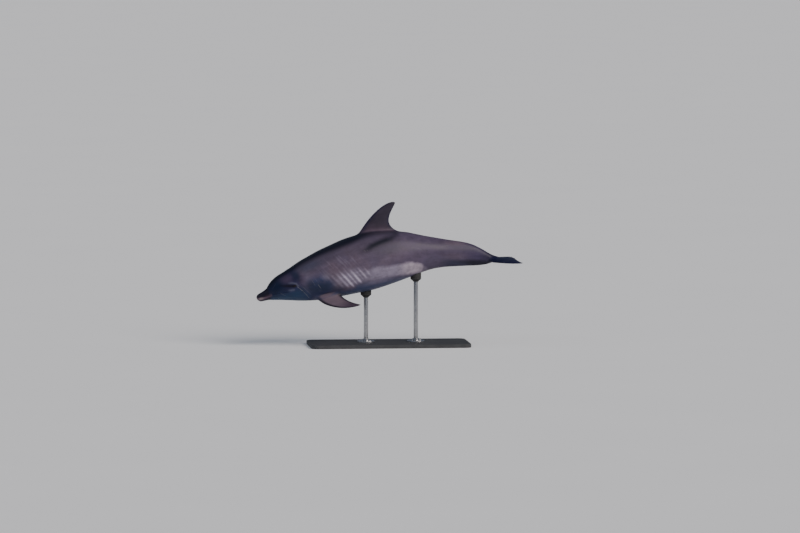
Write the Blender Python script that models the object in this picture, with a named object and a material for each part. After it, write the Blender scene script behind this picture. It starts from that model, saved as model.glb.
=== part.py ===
"""A life-size bottlenose dolphin in mid leap, held over a flat base by two short rods.

The dolphin's beak points to -X and its left side to -Y. The body is a loft along a bent spine, parted by thin
cuts into its sub-parts. The fins are blades whose roots are cut to the body that they stand on. Heights, widths
and places on the animal are shares of its body length, from the beak tip to the notch between the flukes.
"""

import math

import bmesh
import bpy
import numpy as np
from mathutils import Vector

# --- Driving sizes, in metres and degrees ---------------------------------------------------------------------
BODY_LENGTH = 2.10
NOSE_DOWN = 17.7  # how far the head and chest point down
TAIL_DOWN = 7.7  # how far the tail's end points down, the other way
BEND_START, BEND_END = 0.267, 0.956  # the stretch of the body that bends
BEAK_TIP = Vector((-1.076, 0.0, 0.410))
CUT = 0.0003  # the gap that parts two neighbouring pieces
FIN_GAP = 0.0005  # the gap between the body and what stands on it
RING_POINTS = 32
BLADE_POINTS = 16

# The body's sections: along, top, bottom, half width, upper fullness, lower fullness. A fullness of 2 is an
# ellipse's quarter, and less is sharper.
STATIONS = (
    (0.000, 0.0060, -0.0235, 0.0150, 2.3, 2.2),
    (0.015, 0.0075, -0.0250, 0.0165, 2.3, 2.2),
    (0.030, 0.0113, -0.0266, 0.0190, 2.3, 2.2),
    (0.042, 0.0152, -0.0280, 0.0225, 2.2, 2.2),
    (0.050, 0.0212, -0.0308, 0.0262, 2.1, 2.1),
    (0.060, 0.0305, -0.0341, 0.0330, 2.1, 2.1),
    (0.080, 0.0430, -0.0407, 0.0440, 2.1, 2.0),
    (0.100, 0.0510, -0.0477, 0.0530, 2.1, 2.0),
    (0.125, 0.0570, -0.0570, 0.0615, 2.1, 2.0),
    (0.150, 0.0632, -0.0666, 0.0665, 2.1, 2.0),
    (0.200, 0.0783, -0.0821, 0.0755, 2.1, 2.0),
    (0.250, 0.0881, -0.0936, 0.0832, 2.1, 2.1),
    (0.300, 0.0973, -0.1003, 0.0900, 2.1, 2.1),
    (0.400, 0.1085, -0.1103, 0.0970, 2.1, 2.1),
    (0.450, 0.1100, -0.1117, 0.0965, 2.1, 2.1),
    (0.500, 0.1075, -0.1085, 0.0922, 2.0, 2.1),
    (0.550, 0.1010, -0.1010, 0.0838, 2.0, 2.0),
    (0.600, 0.0905, -0.0905, 0.0725, 1.9, 2.0),
    (0.650, 0.0763, -0.0770, 0.0598, 1.8, 1.9),
    (0.700, 0.0637, -0.0628, 0.0478, 1.75, 1.8),
    (0.750, 0.0557, -0.0541, 0.0370, 1.7, 1.7),
    (0.800, 0.0507, -0.0483, 0.0285, 1.7, 1.7),
    (0.850, 0.0440, -0.0428, 0.0215, 1.7, 1.7),
    (0.880, 0.0352, -0.0380, 0.0185, 1.8, 1.8),
    (0.920, 0.0172, -0.0275, 0.0160, 1.9, 1.9),
    (0.940, 0.0100, -0.0190, 0.0158, 2.0, 2.0),
    (0.965, 0.0065, -0.0120, 0.0150, 2.0, 2.0),
)
# The line between the jaws, and behind it the height at which the body is widest.
LIP_LINE = (
    (0.000, -0.0060),
    (0.020, -0.0098),
    (0.065, -0.0100),
    (0.090, -0.0122),
    (0.115, -0.0160),
    (0.124, -0.0165),
    (0.135, -0.0148),
    (0.200, -0.0080),
    (0.300, -0.0030),
    (0.450, 0.0000),
    (0.965, -0.0030),
)
BEAK_END = -0.002  # the foremost point of the jaws
BEAK_ROUNDING = 0.016  # the length over which the beak's tip rounds off
CLOSEST = 0.003  # the least step between two sections
MELON_START = 0.048
MOUTH_CORNER = 0.135
# The rest of the body, from front to back: a name and where it ends.
TRUNK_PARTS = (
    ("head", 0.190),
    ("neck", 0.212),
    ("chest", 0.370),
    ("trunk", 0.610),
    ("loin", 0.740),
    ("tail_stock", 0.890),
    ("tail_root", 0.965),
)

# The eyes.
EYE_ALONG, EYE_HEIGHT = 0.1510, -0.0012
EYE_RADIUS = 0.0135
EYE_DEPTH = 0.0112  # the ball's centre, under the skin

# The blades' outlines are Bezier curves. Dorsal fin: along and height.
DORSAL_LEADING = ((0.420, 0.088), (0.4690, 0.145), (0.541, 0.216), (0.5800, 0.2090))
DORSAL_TRAILING = ((0.604, 0.078), (0.5300, 0.120), (0.552, 0.150), (0.5840, 0.2040))
DORSAL_THICKNESS = (0.0215, 0.0030)
# Flippers: along, and how far down the blade from where it meets the chest.
FLIPPER_LEADING = ((0.203, -0.022), (0.2330, 0.034), (0.286, 0.080), (0.3660, 0.0800))
FLIPPER_TRAILING = ((0.303, -0.022), (0.3055, 0.022), (0.325, 0.050), (0.3680, 0.0775))
FLIPPER_THICKNESS = (0.0190, 0.0028)
FLIPPER_ROOT = (0.250, 0.050, -0.083)  # along, aside and height of the blade's zero line
FLIPPER_SPLAY = 36.0  # how far the blade stands out from hanging straight down
# each side's name and sign, and how far its flipper is turned down in its own plane
FLIPPER_DROPS = (("left", -1, 0.0), ("right", 1, 8.0))
# Flukes: along and aside.
FLUKE_LEADING = ((0.9220, 0.000), (0.942, 0.048), (0.980, 0.102), (1.0420, 0.1260))
FLUKE_TRAILING = ((0.9980, 0.000), (1.028, 0.014), (1.014, 0.080), (1.0440, 0.1235))
FLUKE_THICKNESS = (0.0195, 0.0030)
FLUKE_HEIGHT, FLUKE_MIDDLE = -0.0026, 0.965  # the root's height, and where along it has that height
FLUKE_PITCH = 17.0  # how far the flukes' rear edges are turned up
FLUKE_TIP_DROP, FLUKE_BEND = 0.0200, 1.6  # how far the flukes' tips bend down, and how sharply
THINNEST = 0.0012  # the blades' rear edges

# The stand.
BASE_SIZE = Vector((1.30, 0.56, 0.03))
BASE_CORNER, BASE_BEVEL = 0.06, 0.004
ROD_RADIUS, FLANGE_RADIUS, FLANGE_HEIGHT = 0.018, 0.070, 0.012
CHAMFER = 0.003
CUP_RADIUS, CUP_FOOT_RADIUS = 0.044, 0.024
CUP_DEPTH, CUP_TAPER = 0.014, 0.026  # its upright wall below the belly, and the slope under that
ROD_PLACES = (("front", 0.415), ("rear", 0.635))  # where along the body each rod meets the belly
STAND_SIDES, CORNER_STEPS = 24, 8


# --- Curves and sections --------------------------------------------------------------------------------------
def smooth_line(points):
    """A smooth function through the points that doesn't overshoot them (a monotone cubic)."""
    xs, ys = (np.array(column, float) for column in zip(*points))
    step = np.diff(xs)
    slope = np.diff(ys) / step
    product = slope[1:] * slope[:-1]
    total = np.where(product > 0, slope[1:] + slope[:-1], 1.0)
    inner = np.where(product > 0, 2 * product / total, 0.0)
    tangent = np.concatenate([slope[:1], inner, slope[-1:]])

    def at(x):
        i = np.clip(np.searchsorted(xs, x, side="right") - 1, 0, len(step) - 1)
        t = (x - xs[i]) / step[i]
        start = ys[i] * (1 + 2 * t) * (1 - t) ** 2 + ys[i + 1] * t * t * (3 - 2 * t)
        return start + step[i] * (tangent[i] * t * (1 - t) ** 2 - tangent[i + 1] * t * t * (1 - t))

    return at


TOP, BOTTOM, HALF_WIDTH, UPPER_FULLNESS, LOWER_FULLNESS = (
    smooth_line([(row[0], row[column]) for row in STATIONS]) for column in range(1, 6)
)
LIP = smooth_line(LIP_LINE)


def spine_angle(along):
    """The spine's slope at a place along it, in radians."""
    t = np.clip((along - BEND_START) / (BEND_END - BEND_START), 0, 1)
    return np.radians(NOSE_DOWN - (NOSE_DOWN + TAIL_DOWN) * t * t * (3 - 2 * t))


SPINE_ALONG = np.linspace(-0.02, 1.08, 2201)
SPINE_STEP = (SPINE_ALONG[1] - SPINE_ALONG[0]) * BODY_LENGTH
SPINE_X = np.cumsum(np.cos(spine_angle(SPINE_ALONG))) * SPINE_STEP
SPINE_Z = np.cumsum(np.sin(spine_angle(SPINE_ALONG))) * SPINE_STEP
SPINE_X += BEAK_TIP.x - np.interp(0, SPINE_ALONG, SPINE_X)
SPINE_Z += BEAK_TIP.z - np.interp(0, SPINE_ALONG, SPINE_Z)


def on_body(along, aside, height):
    """The point in space at a place on the animal. Aside is positive to the animal's right, which is +Y."""
    angle = float(spine_angle(along))
    rise = height * BODY_LENGTH
    x = np.interp(along, SPINE_ALONG, SPINE_X) - rise * math.sin(angle)
    z = np.interp(along, SPINE_ALONG, SPINE_Z) + rise * math.cos(angle)
    return Vector((x, aside * BODY_LENGTH, z))


def signed_power(value, power):
    return math.copysign(abs(value) ** power, value)


def section_point(along, turn, grow=0.0):
    """The body's skin at an angle round its section, from the right-hand lip line over the back."""
    upper = math.sin(turn) >= 0
    power = 2 / float(UPPER_FULLNESS(along) if upper else LOWER_FULLNESS(along))
    middle = float(LIP(along))
    reach = float(TOP(along)) - middle if upper else middle - float(BOTTOM(along))
    rounding = min(1.0, max(0.0, (along - BEAK_END) / BEAK_ROUNDING))
    closing = math.sqrt(1 - (1 - rounding) ** 2)
    aside = (float(HALF_WIDTH(along)) * closing + grow) * signed_power(math.cos(turn), power)
    height = middle + (reach * closing + grow) * signed_power(math.sin(turn), power)
    return on_body(along, aside, height)


def bezier(points, t):
    a, b, c, d = (np.array(point) for point in points)
    return a * (1 - t) ** 3 + 3 * b * t * (1 - t) ** 2 + 3 * c * t * t * (1 - t) + d * t**3


# --- Objects --------------------------------------------------------------------------------------------------
def material(name, colour, roughness, metallic=0.0):
    made = bpy.data.materials.new(name)
    made.use_nodes = True
    shader = made.node_tree.nodes["Principled BSDF"]
    shader.inputs["Base Color"].default_value = (*colour, 1.0)
    shader.inputs["Roughness"].default_value = roughness
    shader.inputs["Metallic"].default_value = metallic
    return made


def add_object(name, mesh, finish=None):
    mesh.shade_smooth()
    mesh.set_sharp_from_angle(angle=math.radians(40))
    made = bpy.data.objects.new(name, mesh)
    if finish is not None:
        mesh.materials.append(finish)
    bpy.context.collection.objects.link(made)
    return made


def loft(name, rings, finish=None):
    """A closed solid through rings of points, with flat ends."""
    shape = bmesh.new()
    loops = [[shape.verts.new(point) for point in ring] for ring in rings]
    for loop, following in zip(loops, loops[1:]):
        for i, vertex in enumerate(loop):
            j = (i + 1) % len(loop)
            shape.faces.new((vertex, loop[j], following[j], following[i]))
    shape.faces.new(reversed(loops[0]))
    shape.faces.new(loops[-1])
    bmesh.ops.recalc_face_normals(shape, faces=shape.faces)
    mesh = bpy.data.meshes.new(name)
    shape.to_mesh(mesh)
    shape.free()
    return add_object(name, mesh, finish)


def make_guide(obj):
    """Keeps a cutter out of the model itself."""
    obj.hide_render = True
    obj.display_type = "WIRE"
    return obj


def cut_by(obj, cutter):
    cutting = obj.modifiers.new("cut_" + cutter.name, "BOOLEAN")
    cutting.operation = "DIFFERENCE"
    cutting.solver = "EXACT"
    cutting.object = cutter


# --- Body -----------------------------------------------------------------------------------------------------
def stations_between(start, end):
    """Places along the body, close together on the beak, the forehead and the tail's end."""
    beak = BEAK_END + BEAK_ROUNDING * np.array([0.03, 0.12, 0.28, 0.5, 0.75])
    head = np.linspace(0.018, MOUTH_CORNER, 16)
    trunk = np.linspace(0.155, 0.85, 24)
    tail = np.linspace(0.87, TRUNK_PARTS[-1][1], 8)
    every = np.concatenate([beak, head, trunk, tail])
    if start == BEAK_END:
        return [*every[every < end - CLOSEST], end]
    return [start, *every[(every > start + CLOSEST) & (every < end - CLOSEST)], end]


def ring_turns(first, last, count):
    return [first + (last - first) * i / (count - 1) for i in range(count)]


def body_part(name, start, end, finish, first_turn=0.0, last_turn=None, lift=0.0):
    """A length of the body, or only what lies between two angles round it, moved by lift."""
    if last_turn is None:
        turns = [2 * math.pi * i / RING_POINTS for i in range(RING_POINTS)]
    else:
        turns = ring_turns(first_turn, last_turn, RING_POINTS // 2 + 1)
    margin = CUT / 2 / BODY_LENGTH
    places = stations_between(start, end)
    places[-1] -= margin
    if start > BEAK_END:
        places[0] += margin
    raised = Vector((0, 0, lift))
    rings = [[section_point(along, turn) + raised for turn in turns] for along in places]
    return loft(name, rings, finish)


def make_body(finish):
    half_gap = CUT / 2
    body_part("upper_jaw", BEAK_END, MELON_START, finish, 0.0, math.pi, half_gap)
    body_part("melon", MELON_START, MOUTH_CORNER, finish, 0.0, math.pi, half_gap)
    body_part("lower_jaw", BEAK_END, MOUTH_CORNER, finish, math.pi, 2 * math.pi, -half_gap)
    start = MOUTH_CORNER
    for name, end in TRUNK_PARTS:
        body_part(name, start, end, finish)
        start = end


def make_body_cutter():
    """The trunk a cut larger all round, for what stands on it."""
    turns = [2 * math.pi * i / RING_POINTS for i in range(RING_POINTS)]
    places = {MOUTH_CORNER}
    start = MOUTH_CORNER
    for _, end in TRUNK_PARTS:
        places.update(stations_between(start, end))
        start = end
    grow = FIN_GAP / BODY_LENGTH
    rings = [[section_point(along, turn, grow) for turn in turns] for along in sorted(places)]
    rings[-1] = [point + Vector((FIN_GAP, 0, 0)) for point in rings[-1]]
    return make_guide(loft("body_cutter", rings))


# --- Eyes -----------------------------------------------------------------------------------------------------
def eye_centre(side):
    """The middle of the eyeball on one side, +1 for the right."""
    middle = float(LIP(EYE_ALONG))
    reach = float(TOP(EYE_ALONG)) - middle
    power = float(UPPER_FULLNESS(EYE_ALONG))
    share = (1 - ((EYE_HEIGHT - middle) / reach) ** power) ** (1 / power)
    aside = float(HALF_WIDTH(EYE_ALONG)) * share - EYE_DEPTH / BODY_LENGTH
    return on_body(EYE_ALONG, side * aside, EYE_HEIGHT)


def ball(name, radius, centre, finish=None):
    shape = bmesh.new()
    bmesh.ops.create_uvsphere(shape, u_segments=16, v_segments=8, radius=radius)
    bmesh.ops.translate(shape, verts=shape.verts, vec=centre)
    mesh = bpy.data.meshes.new(name)
    shape.to_mesh(mesh)
    shape.free()
    return add_object(name, mesh, finish)


def make_eyes(finish):
    for side, word in ((-1, "left"), (1, "right")):
        centre = eye_centre(side)
        ball("eye_" + word, EYE_RADIUS, centre, finish)
        socket = make_guide(ball("socket_" + word, EYE_RADIUS + CUT, centre))
        cut_by(bpy.data.objects["head"], socket)


# --- Fins -----------------------------------------------------------------------------------------------------
def blade_profile(share):
    """A fin section's half thickness from its front edge, 0, to its rear edge, 1, with 1 at the thickest."""
    root = 2.969 * math.sqrt(share)
    rest = 1.26 * share + 3.516 * share**2 - 2.843 * share**3 + 1.036 * share**4
    return root - rest


def blade_rings(leading, trailing, thickness, levels, place):
    """Rings from a fin's root to its tip. Place turns an outline point and a thickness into a point in space."""
    rings = []
    for level in range(levels + 1):
        t = level / levels
        front, rear = bezier(leading, t), bezier(trailing, t)
        half = (thickness[0] * (1 - t) + thickness[1] * t) / 2
        ring = []
        for k in range(BLADE_POINTS):
            turn = 2 * math.pi * (k + 0.5) / BLADE_POINTS
            share = (1 - math.cos(turn)) / 2
            offset = max(half * blade_profile(share), THINNEST / 2 / BODY_LENGTH)
            ring.append(place(front + (rear - front) * share, math.copysign(offset, math.sin(turn))))
        rings.append(ring)
    return rings


def make_dorsal_fin(finish, cutter):
    def place(point, offset):
        return on_body(point[0], offset, point[1])

    rings = blade_rings(DORSAL_LEADING, DORSAL_TRAILING, DORSAL_THICKNESS, 14, place)
    cut_by(loft("dorsal_fin", rings, finish), cutter)


def make_flippers(finish, cutter):
    along, aside, height = FLIPPER_ROOT
    angle = float(spine_angle(along))
    back = Vector((math.cos(angle), 0, math.sin(angle)))
    up = Vector((-math.sin(angle), 0, math.cos(angle)))
    splay = math.radians(FLIPPER_SPLAY)
    for word, side, drop in FLIPPER_DROPS:
        out = Vector((0, side, 0))
        hanging = out * math.sin(splay) - up * math.cos(splay)
        face = out * math.cos(splay) + up * math.sin(splay)
        lengthways = back * math.cos(math.radians(drop)) + hanging * math.sin(math.radians(drop))
        down = hanging * math.cos(math.radians(drop)) - back * math.sin(math.radians(drop))
        root = on_body(along, side * aside, height)

        def place(point, offset, root=root, lengthways=lengthways, down=down, face=face):
            reach = lengthways * (point[0] - along) + down * point[1] + face * offset
            return root + reach * BODY_LENGTH

        rings = blade_rings(FLIPPER_LEADING, FLIPPER_TRAILING, FLIPPER_THICKNESS, 12, place)
        cut_by(loft("flipper_" + word, rings, finish), cutter)


def make_flukes(finish, cutter):
    inner = CUT / 2 / BODY_LENGTH
    pitch = math.tan(math.radians(FLUKE_PITCH))
    for side, word in ((-1, "left"), (1, "right")):

        def place(point, offset, side=side):
            drop = FLUKE_TIP_DROP * (point[1] / FLUKE_LEADING[-1][1]) ** FLUKE_BEND
            height = FLUKE_HEIGHT + pitch * (point[0] - FLUKE_MIDDLE) - drop
            return on_body(point[0], side * (inner + point[1]), height + offset)

        rings = blade_rings(FLUKE_LEADING, FLUKE_TRAILING, FLUKE_THICKNESS, 14, place)
        cut_by(loft("fluke_" + word, rings, finish), cutter)


# --- Stand ----------------------------------------------------------------------------------------------------
def rounded_plate(name, size, corner, bevel, finish):
    """A flat plate that rests on the floor, with round corners and a bevelled upper edge."""
    half = Vector((size.x / 2 - corner, size.y / 2 - corner))
    outline = []
    for quarter, (sx, sy) in enumerate(((1, 1), (-1, 1), (-1, -1), (1, -1))):
        for step in range(CORNER_STEPS + 1):
            turn = math.pi / 2 * (quarter + step / CORNER_STEPS)
            outline.append((sx * half.x + corner * math.cos(turn), sy * half.y + corner * math.sin(turn)))
    levels = ((0.0, 0.0), (size.z - bevel, 0.0), (size.z, bevel))
    rings = []
    for height, inset in levels:
        scale = Vector((1 - 2 * inset / size.x, 1 - 2 * inset / size.y))
        rings.append([Vector((x * scale.x, y * scale.y, height)) for x, y in outline])
    return loft(name, rings, finish)


def turned(name, axis_x, profile, finish):
    """A solid turned about an upright axis. The profile is pairs of radius and height, from the foot up."""
    rings = []
    for radius, height in profile:
        turns = [2 * math.pi * i / STAND_SIDES for i in range(STAND_SIDES)]
        rings.append([Vector((axis_x + radius * math.cos(a), radius * math.sin(a), height)) for a in turns])
    return loft(name, rings, finish)


def make_cup(name, along, finish, cutter):
    """A soft cup round a rod's upper end, cut to the belly. Returns where its axis stands and its foot's height."""
    belly = on_body(along, 0, float(BOTTOM(along)))
    share = CUP_RADIUS / BODY_LENGTH
    lowest = min(on_body(along + step, 0, float(BOTTOM(along + step))).z for step in (-share, share))
    wall = min(lowest, belly.z) - CUP_DEPTH
    foot = wall - CUP_TAPER
    profile = ((CUP_FOOT_RADIUS, foot), (CUP_RADIUS, wall), (CUP_RADIUS, belly.z + CUP_RADIUS))
    cut_by(turned(name, belly.x, profile, finish), cutter)
    return belly.x, foot


def make_stand(board, metal, pad, cutter):
    rounded_plate("stand_base", BASE_SIZE, BASE_CORNER, BASE_BEVEL, board)
    for word, along in ROD_PLACES:
        axis_x, rod_top = make_cup("stand_cup_" + word, along, pad, cutter)
        foot = BASE_SIZE.z + CUT
        head = foot + FLANGE_HEIGHT
        flange = ((FLANGE_RADIUS, foot), (FLANGE_RADIUS, head - CHAMFER), (FLANGE_RADIUS - CHAMFER, head))
        turned("stand_flange_" + word, axis_x, flange, metal)
        rod = ((ROD_RADIUS, head + CUT), (ROD_RADIUS, rod_top - CUT))
        turned("stand_rod_" + word, axis_x, rod, metal)


def main():
    for obj in list(bpy.data.objects):
        bpy.data.objects.remove(obj)
    skin = material("skin", (0.105, 0.088, 0.095), 0.38)
    eye = material("eye", (0.012, 0.009, 0.008), 0.06)
    board = material("stand_board", (0.045, 0.046, 0.05), 0.5)
    metal = material("stand_metal", (0.42, 0.43, 0.44), 0.32, 1.0)
    pad = material("stand_pad", (0.03, 0.03, 0.03), 0.8)
    make_body(skin)
    cutter = make_body_cutter()
    make_eyes(eye)
    make_dorsal_fin(skin, cutter)
    make_flippers(skin, cutter)
    make_flukes(skin, cutter)
    make_stand(board, metal, pad, cutter)


main()
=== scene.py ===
"""A life-size bottlenose dolphin in mid leap, cast in resin and painted, held over a base by two rods."""

import math

import bmesh
import bpy
import numpy as np
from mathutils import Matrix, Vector
from mathutils.bvhtree import BVHTree


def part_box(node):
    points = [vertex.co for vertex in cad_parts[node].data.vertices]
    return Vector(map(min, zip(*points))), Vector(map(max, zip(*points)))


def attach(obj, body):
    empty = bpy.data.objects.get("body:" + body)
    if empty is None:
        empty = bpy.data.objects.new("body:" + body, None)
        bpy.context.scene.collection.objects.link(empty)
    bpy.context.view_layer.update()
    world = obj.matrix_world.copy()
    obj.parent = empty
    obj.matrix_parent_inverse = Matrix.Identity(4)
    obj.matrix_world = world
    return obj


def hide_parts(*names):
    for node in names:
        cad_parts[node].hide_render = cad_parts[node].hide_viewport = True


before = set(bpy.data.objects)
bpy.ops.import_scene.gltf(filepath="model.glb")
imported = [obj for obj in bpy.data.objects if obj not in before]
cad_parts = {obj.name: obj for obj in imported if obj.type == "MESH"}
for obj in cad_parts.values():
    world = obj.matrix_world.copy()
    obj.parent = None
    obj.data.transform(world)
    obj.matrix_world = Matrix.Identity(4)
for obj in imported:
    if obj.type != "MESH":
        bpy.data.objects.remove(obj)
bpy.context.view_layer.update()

# --- Body surface ---
# The animal is one hollow casting. Its surface is a grid of sections along a bent spine, from the beak's tip
# to the notch between the flukes. Only the right half is made here. Lengths are shares of the body length.
BODY_LENGTH = 2.10
NOSE_DOWN, TAIL_DOWN = 17.7, 7.7  # the slopes of the spine's two ends, in degrees
BEND_START, BEND_END = 0.267, 0.956
BEAK_TIP = (-1.076, 0.410)
STATIONS = (  # along, top, bottom, half width, upper fullness, lower fullness
    (0.000, 0.0060, -0.0235, 0.0150, 2.3, 2.2),
    (0.015, 0.0075, -0.0250, 0.0165, 2.3, 2.2),
    (0.030, 0.0113, -0.0266, 0.0190, 2.3, 2.2),
    (0.042, 0.0152, -0.0280, 0.0225, 2.2, 2.2),
    (0.050, 0.0212, -0.0308, 0.0262, 2.1, 2.1),
    (0.060, 0.0305, -0.0341, 0.0330, 2.1, 2.1),
    (0.080, 0.0430, -0.0407, 0.0440, 2.1, 2.0),
    (0.100, 0.0510, -0.0477, 0.0530, 2.1, 2.0),
    (0.125, 0.0570, -0.0570, 0.0615, 2.1, 2.0),
    (0.150, 0.0632, -0.0666, 0.0665, 2.1, 2.0),
    (0.200, 0.0783, -0.0821, 0.0755, 2.1, 2.0),
    (0.250, 0.0881, -0.0936, 0.0832, 2.1, 2.1),
    (0.300, 0.0973, -0.1003, 0.0900, 2.1, 2.1),
    (0.400, 0.1085, -0.1103, 0.0970, 2.1, 2.1),
    (0.450, 0.1100, -0.1117, 0.0965, 2.1, 2.1),
    (0.500, 0.1075, -0.1085, 0.0922, 2.0, 2.1),
    (0.550, 0.1010, -0.1010, 0.0838, 2.0, 2.0),
    (0.600, 0.0905, -0.0905, 0.0725, 1.9, 2.0),
    (0.650, 0.0763, -0.0770, 0.0598, 1.8, 1.9),
    (0.700, 0.0637, -0.0628, 0.0478, 1.75, 1.8),
    (0.750, 0.0557, -0.0541, 0.0370, 1.7, 1.7),
    (0.800, 0.0507, -0.0483, 0.0285, 1.7, 1.7),
    (0.850, 0.0440, -0.0428, 0.0215, 1.7, 1.7),
    (0.880, 0.0352, -0.0380, 0.0185, 1.8, 1.8),
    (0.920, 0.0172, -0.0275, 0.0160, 1.9, 1.9),
    (0.940, 0.0100, -0.0190, 0.0158, 2.0, 2.0),
    (0.965, 0.0062, -0.0114, 0.0148, 2.0, 2.0),
    (0.980, 0.0070, -0.0036, 0.0128, 2.0, 2.0),
    (0.990, 0.0073, 0.0018, 0.0102, 2.0, 2.0),
    (0.996, 0.0076, 0.0050, 0.0078, 2.0, 2.0),
)
LIP_LINE = (  # the line between the jaws, and behind it the height at which the body is widest
    (0.000, -0.0060),
    (0.020, -0.0098),
    (0.065, -0.0100),
    (0.090, -0.0122),
    (0.115, -0.0160),
    (0.124, -0.0165),
    (0.135, -0.0148),
    (0.200, -0.0080),
    (0.300, -0.0030),
    (0.450, 0.0000),
    (0.965, -0.0026),
    (0.980, 0.0018),
    (0.996, 0.0063),
)
BEAK_END, BEAK_ROUNDING = -0.002, 0.016
FINE_EASING, BROAD_EASING = 0.0025, 0.012  # how far the lines are eased on the head, and on the trunk
TIP_ROWS, SECTION_STEPS, PLACING_PASSES, ROUNDING_PASSES = 16, 240, 20, 6
ROW_GAPS = (
    (0.014, 0.0012), (0.165, 0.0012), (0.215, 0.0040), (0.895, 0.0042), (0.925, 0.0023), (0.996, 0.0019),
)
COLUMNS_ABOVE, COLUMNS_BELOW = 44, 38  # from the lip line to the back, and to the belly
LIP_CROWDING = ((0.0, 1.1), (0.05, 1.4), (0.10, 1.55), (0.16, 1.45), (0.20, 1.0), (1.0, 1.0))


def smooth_line(points):
    """A smooth function through the points that doesn't overshoot them (a monotone cubic)."""
    xs, ys = (np.array(column, float) for column in zip(*points))
    step = np.diff(xs)
    slope = np.diff(ys) / step
    product = slope[1:] * slope[:-1]
    total = np.where(product > 0, slope[1:] + slope[:-1], 1.0)
    inner = np.where(product > 0, 2 * product / total, 0.0)
    tangent = np.concatenate([slope[:1], inner, slope[-1:]])

    def at(x):
        x = np.clip(x, xs[0], xs[-1])
        i = np.clip(np.searchsorted(xs, x, side="right") - 1, 0, len(step) - 1)
        t = (x - xs[i]) / step[i]
        start = ys[i] * (1 + 2 * t) * (1 - t) ** 2 + ys[i + 1] * t * t * (3 - 2 * t)
        return start + step[i] * (tangent[i] * t * (1 - t) ** 2 - tangent[i + 1] * t * t * (1 - t))

    return at


def ease(low, high, value):
    """0 below low, 1 above high, and smooth between."""
    t = np.clip((value - low) / (high - low), 0, 1)
    return t * t * (3 - 2 * t)


def between(rise, fall, value):
    """1 between two edges and 0 outside them. Each edge is the pair of places that it eases over."""
    return ease(*rise, value) * (1 - ease(*fall, value))


ALONG = np.linspace(-0.05, 1.10, 2301)
ALONG_STEP = ALONG[1] - ALONG[0]


def blurred(line, width):
    """A line of values along the body, averaged over about width each way."""
    reach = int(4 * width / ALONG_STEP)
    kernel = np.exp(-0.5 * (np.arange(-reach, reach + 1) * ALONG_STEP / width) ** 2)
    padded = np.pad(line, reach, mode="reflect", reflect_type="odd")
    return np.convolve(padded, kernel / kernel.sum(), "valid")


def settled_line(points):
    """A smooth line, blurred a little on the head and more on the trunk, so that its gloss shows no bands."""
    line = smooth_line(points)(ALONG)
    fine, broad = blurred(line, FINE_EASING), blurred(line, BROAD_EASING)
    share = between((0.06, 0.20), (0.88, 0.93), ALONG)
    eased = fine + (broad - fine) * share
    return lambda along: np.interp(along, ALONG, eased)


TOP, BOTTOM, HALF_WIDTH, UPPER_FULLNESS, LOWER_FULLNESS = (
    settled_line([(row[0], row[column]) for row in STATIONS]) for column in range(1, 6)
)
LIP = settled_line(LIP_LINE)


def spine_angle(along):
    """How far the spine points up at a place, in radians."""
    t = np.clip((along - BEND_START) / (BEND_END - BEND_START), 0, 1)
    return np.radians(NOSE_DOWN - (NOSE_DOWN + TAIL_DOWN) * t * t * (3 - 2 * t))


SPINE_X = np.cumsum(np.cos(spine_angle(ALONG))) * ALONG_STEP * BODY_LENGTH
SPINE_Z = np.cumsum(np.sin(spine_angle(ALONG))) * ALONG_STEP * BODY_LENGTH
SPINE_X += BEAK_TIP[0] - np.interp(0, ALONG, SPINE_X)
SPINE_Z += BEAK_TIP[1] - np.interp(0, ALONG, SPINE_Z)


def on_body(along, aside, height):
    """The points in space at places on the animal. Aside is positive to the animal's right, which is +Y."""
    angle = spine_angle(along)
    rise = height * BODY_LENGTH
    x = np.interp(along, ALONG, SPINE_X) - rise * np.sin(angle)
    z = np.interp(along, ALONG, SPINE_Z) + rise * np.cos(angle)
    return np.stack(np.broadcast_arrays(x, aside * BODY_LENGTH, z), -1)


def place_of(points):
    """The places on the animal, along, aside and height, of points in space."""
    along = (points[:, 0] - BEAK_TIP[0]) / BODY_LENGTH
    for _ in range(PLACING_PASSES):
        angle = spine_angle(along)
        x = points[:, 0] - np.interp(along, ALONG, SPINE_X)
        z = points[:, 2] - np.interp(along, ALONG, SPINE_Z)
        along = np.clip(along + 0.9 * (x * np.cos(angle) + z * np.sin(angle)) / BODY_LENGTH, -0.05, 1.10)
    height = z * np.cos(angle) - x * np.sin(angle)
    return np.stack([along, points[:, 1] / BODY_LENGTH, height / BODY_LENGTH], -1)


def row_places():
    """Where the sections lie: close on the beak and the flukes' root, and wider on the trunk."""
    tip = BEAK_END + BEAK_ROUNDING * (1 - np.cos(np.linspace(0, math.pi / 2, TIP_ROWS + 1)[1:]))
    places = list(tip)
    gap = smooth_line(ROW_GAPS)
    while places[-1] < STATIONS[-1][0] - 0.001:
        places.append(places[-1] + float(gap(places[-1])))
    return np.array(places)


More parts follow.
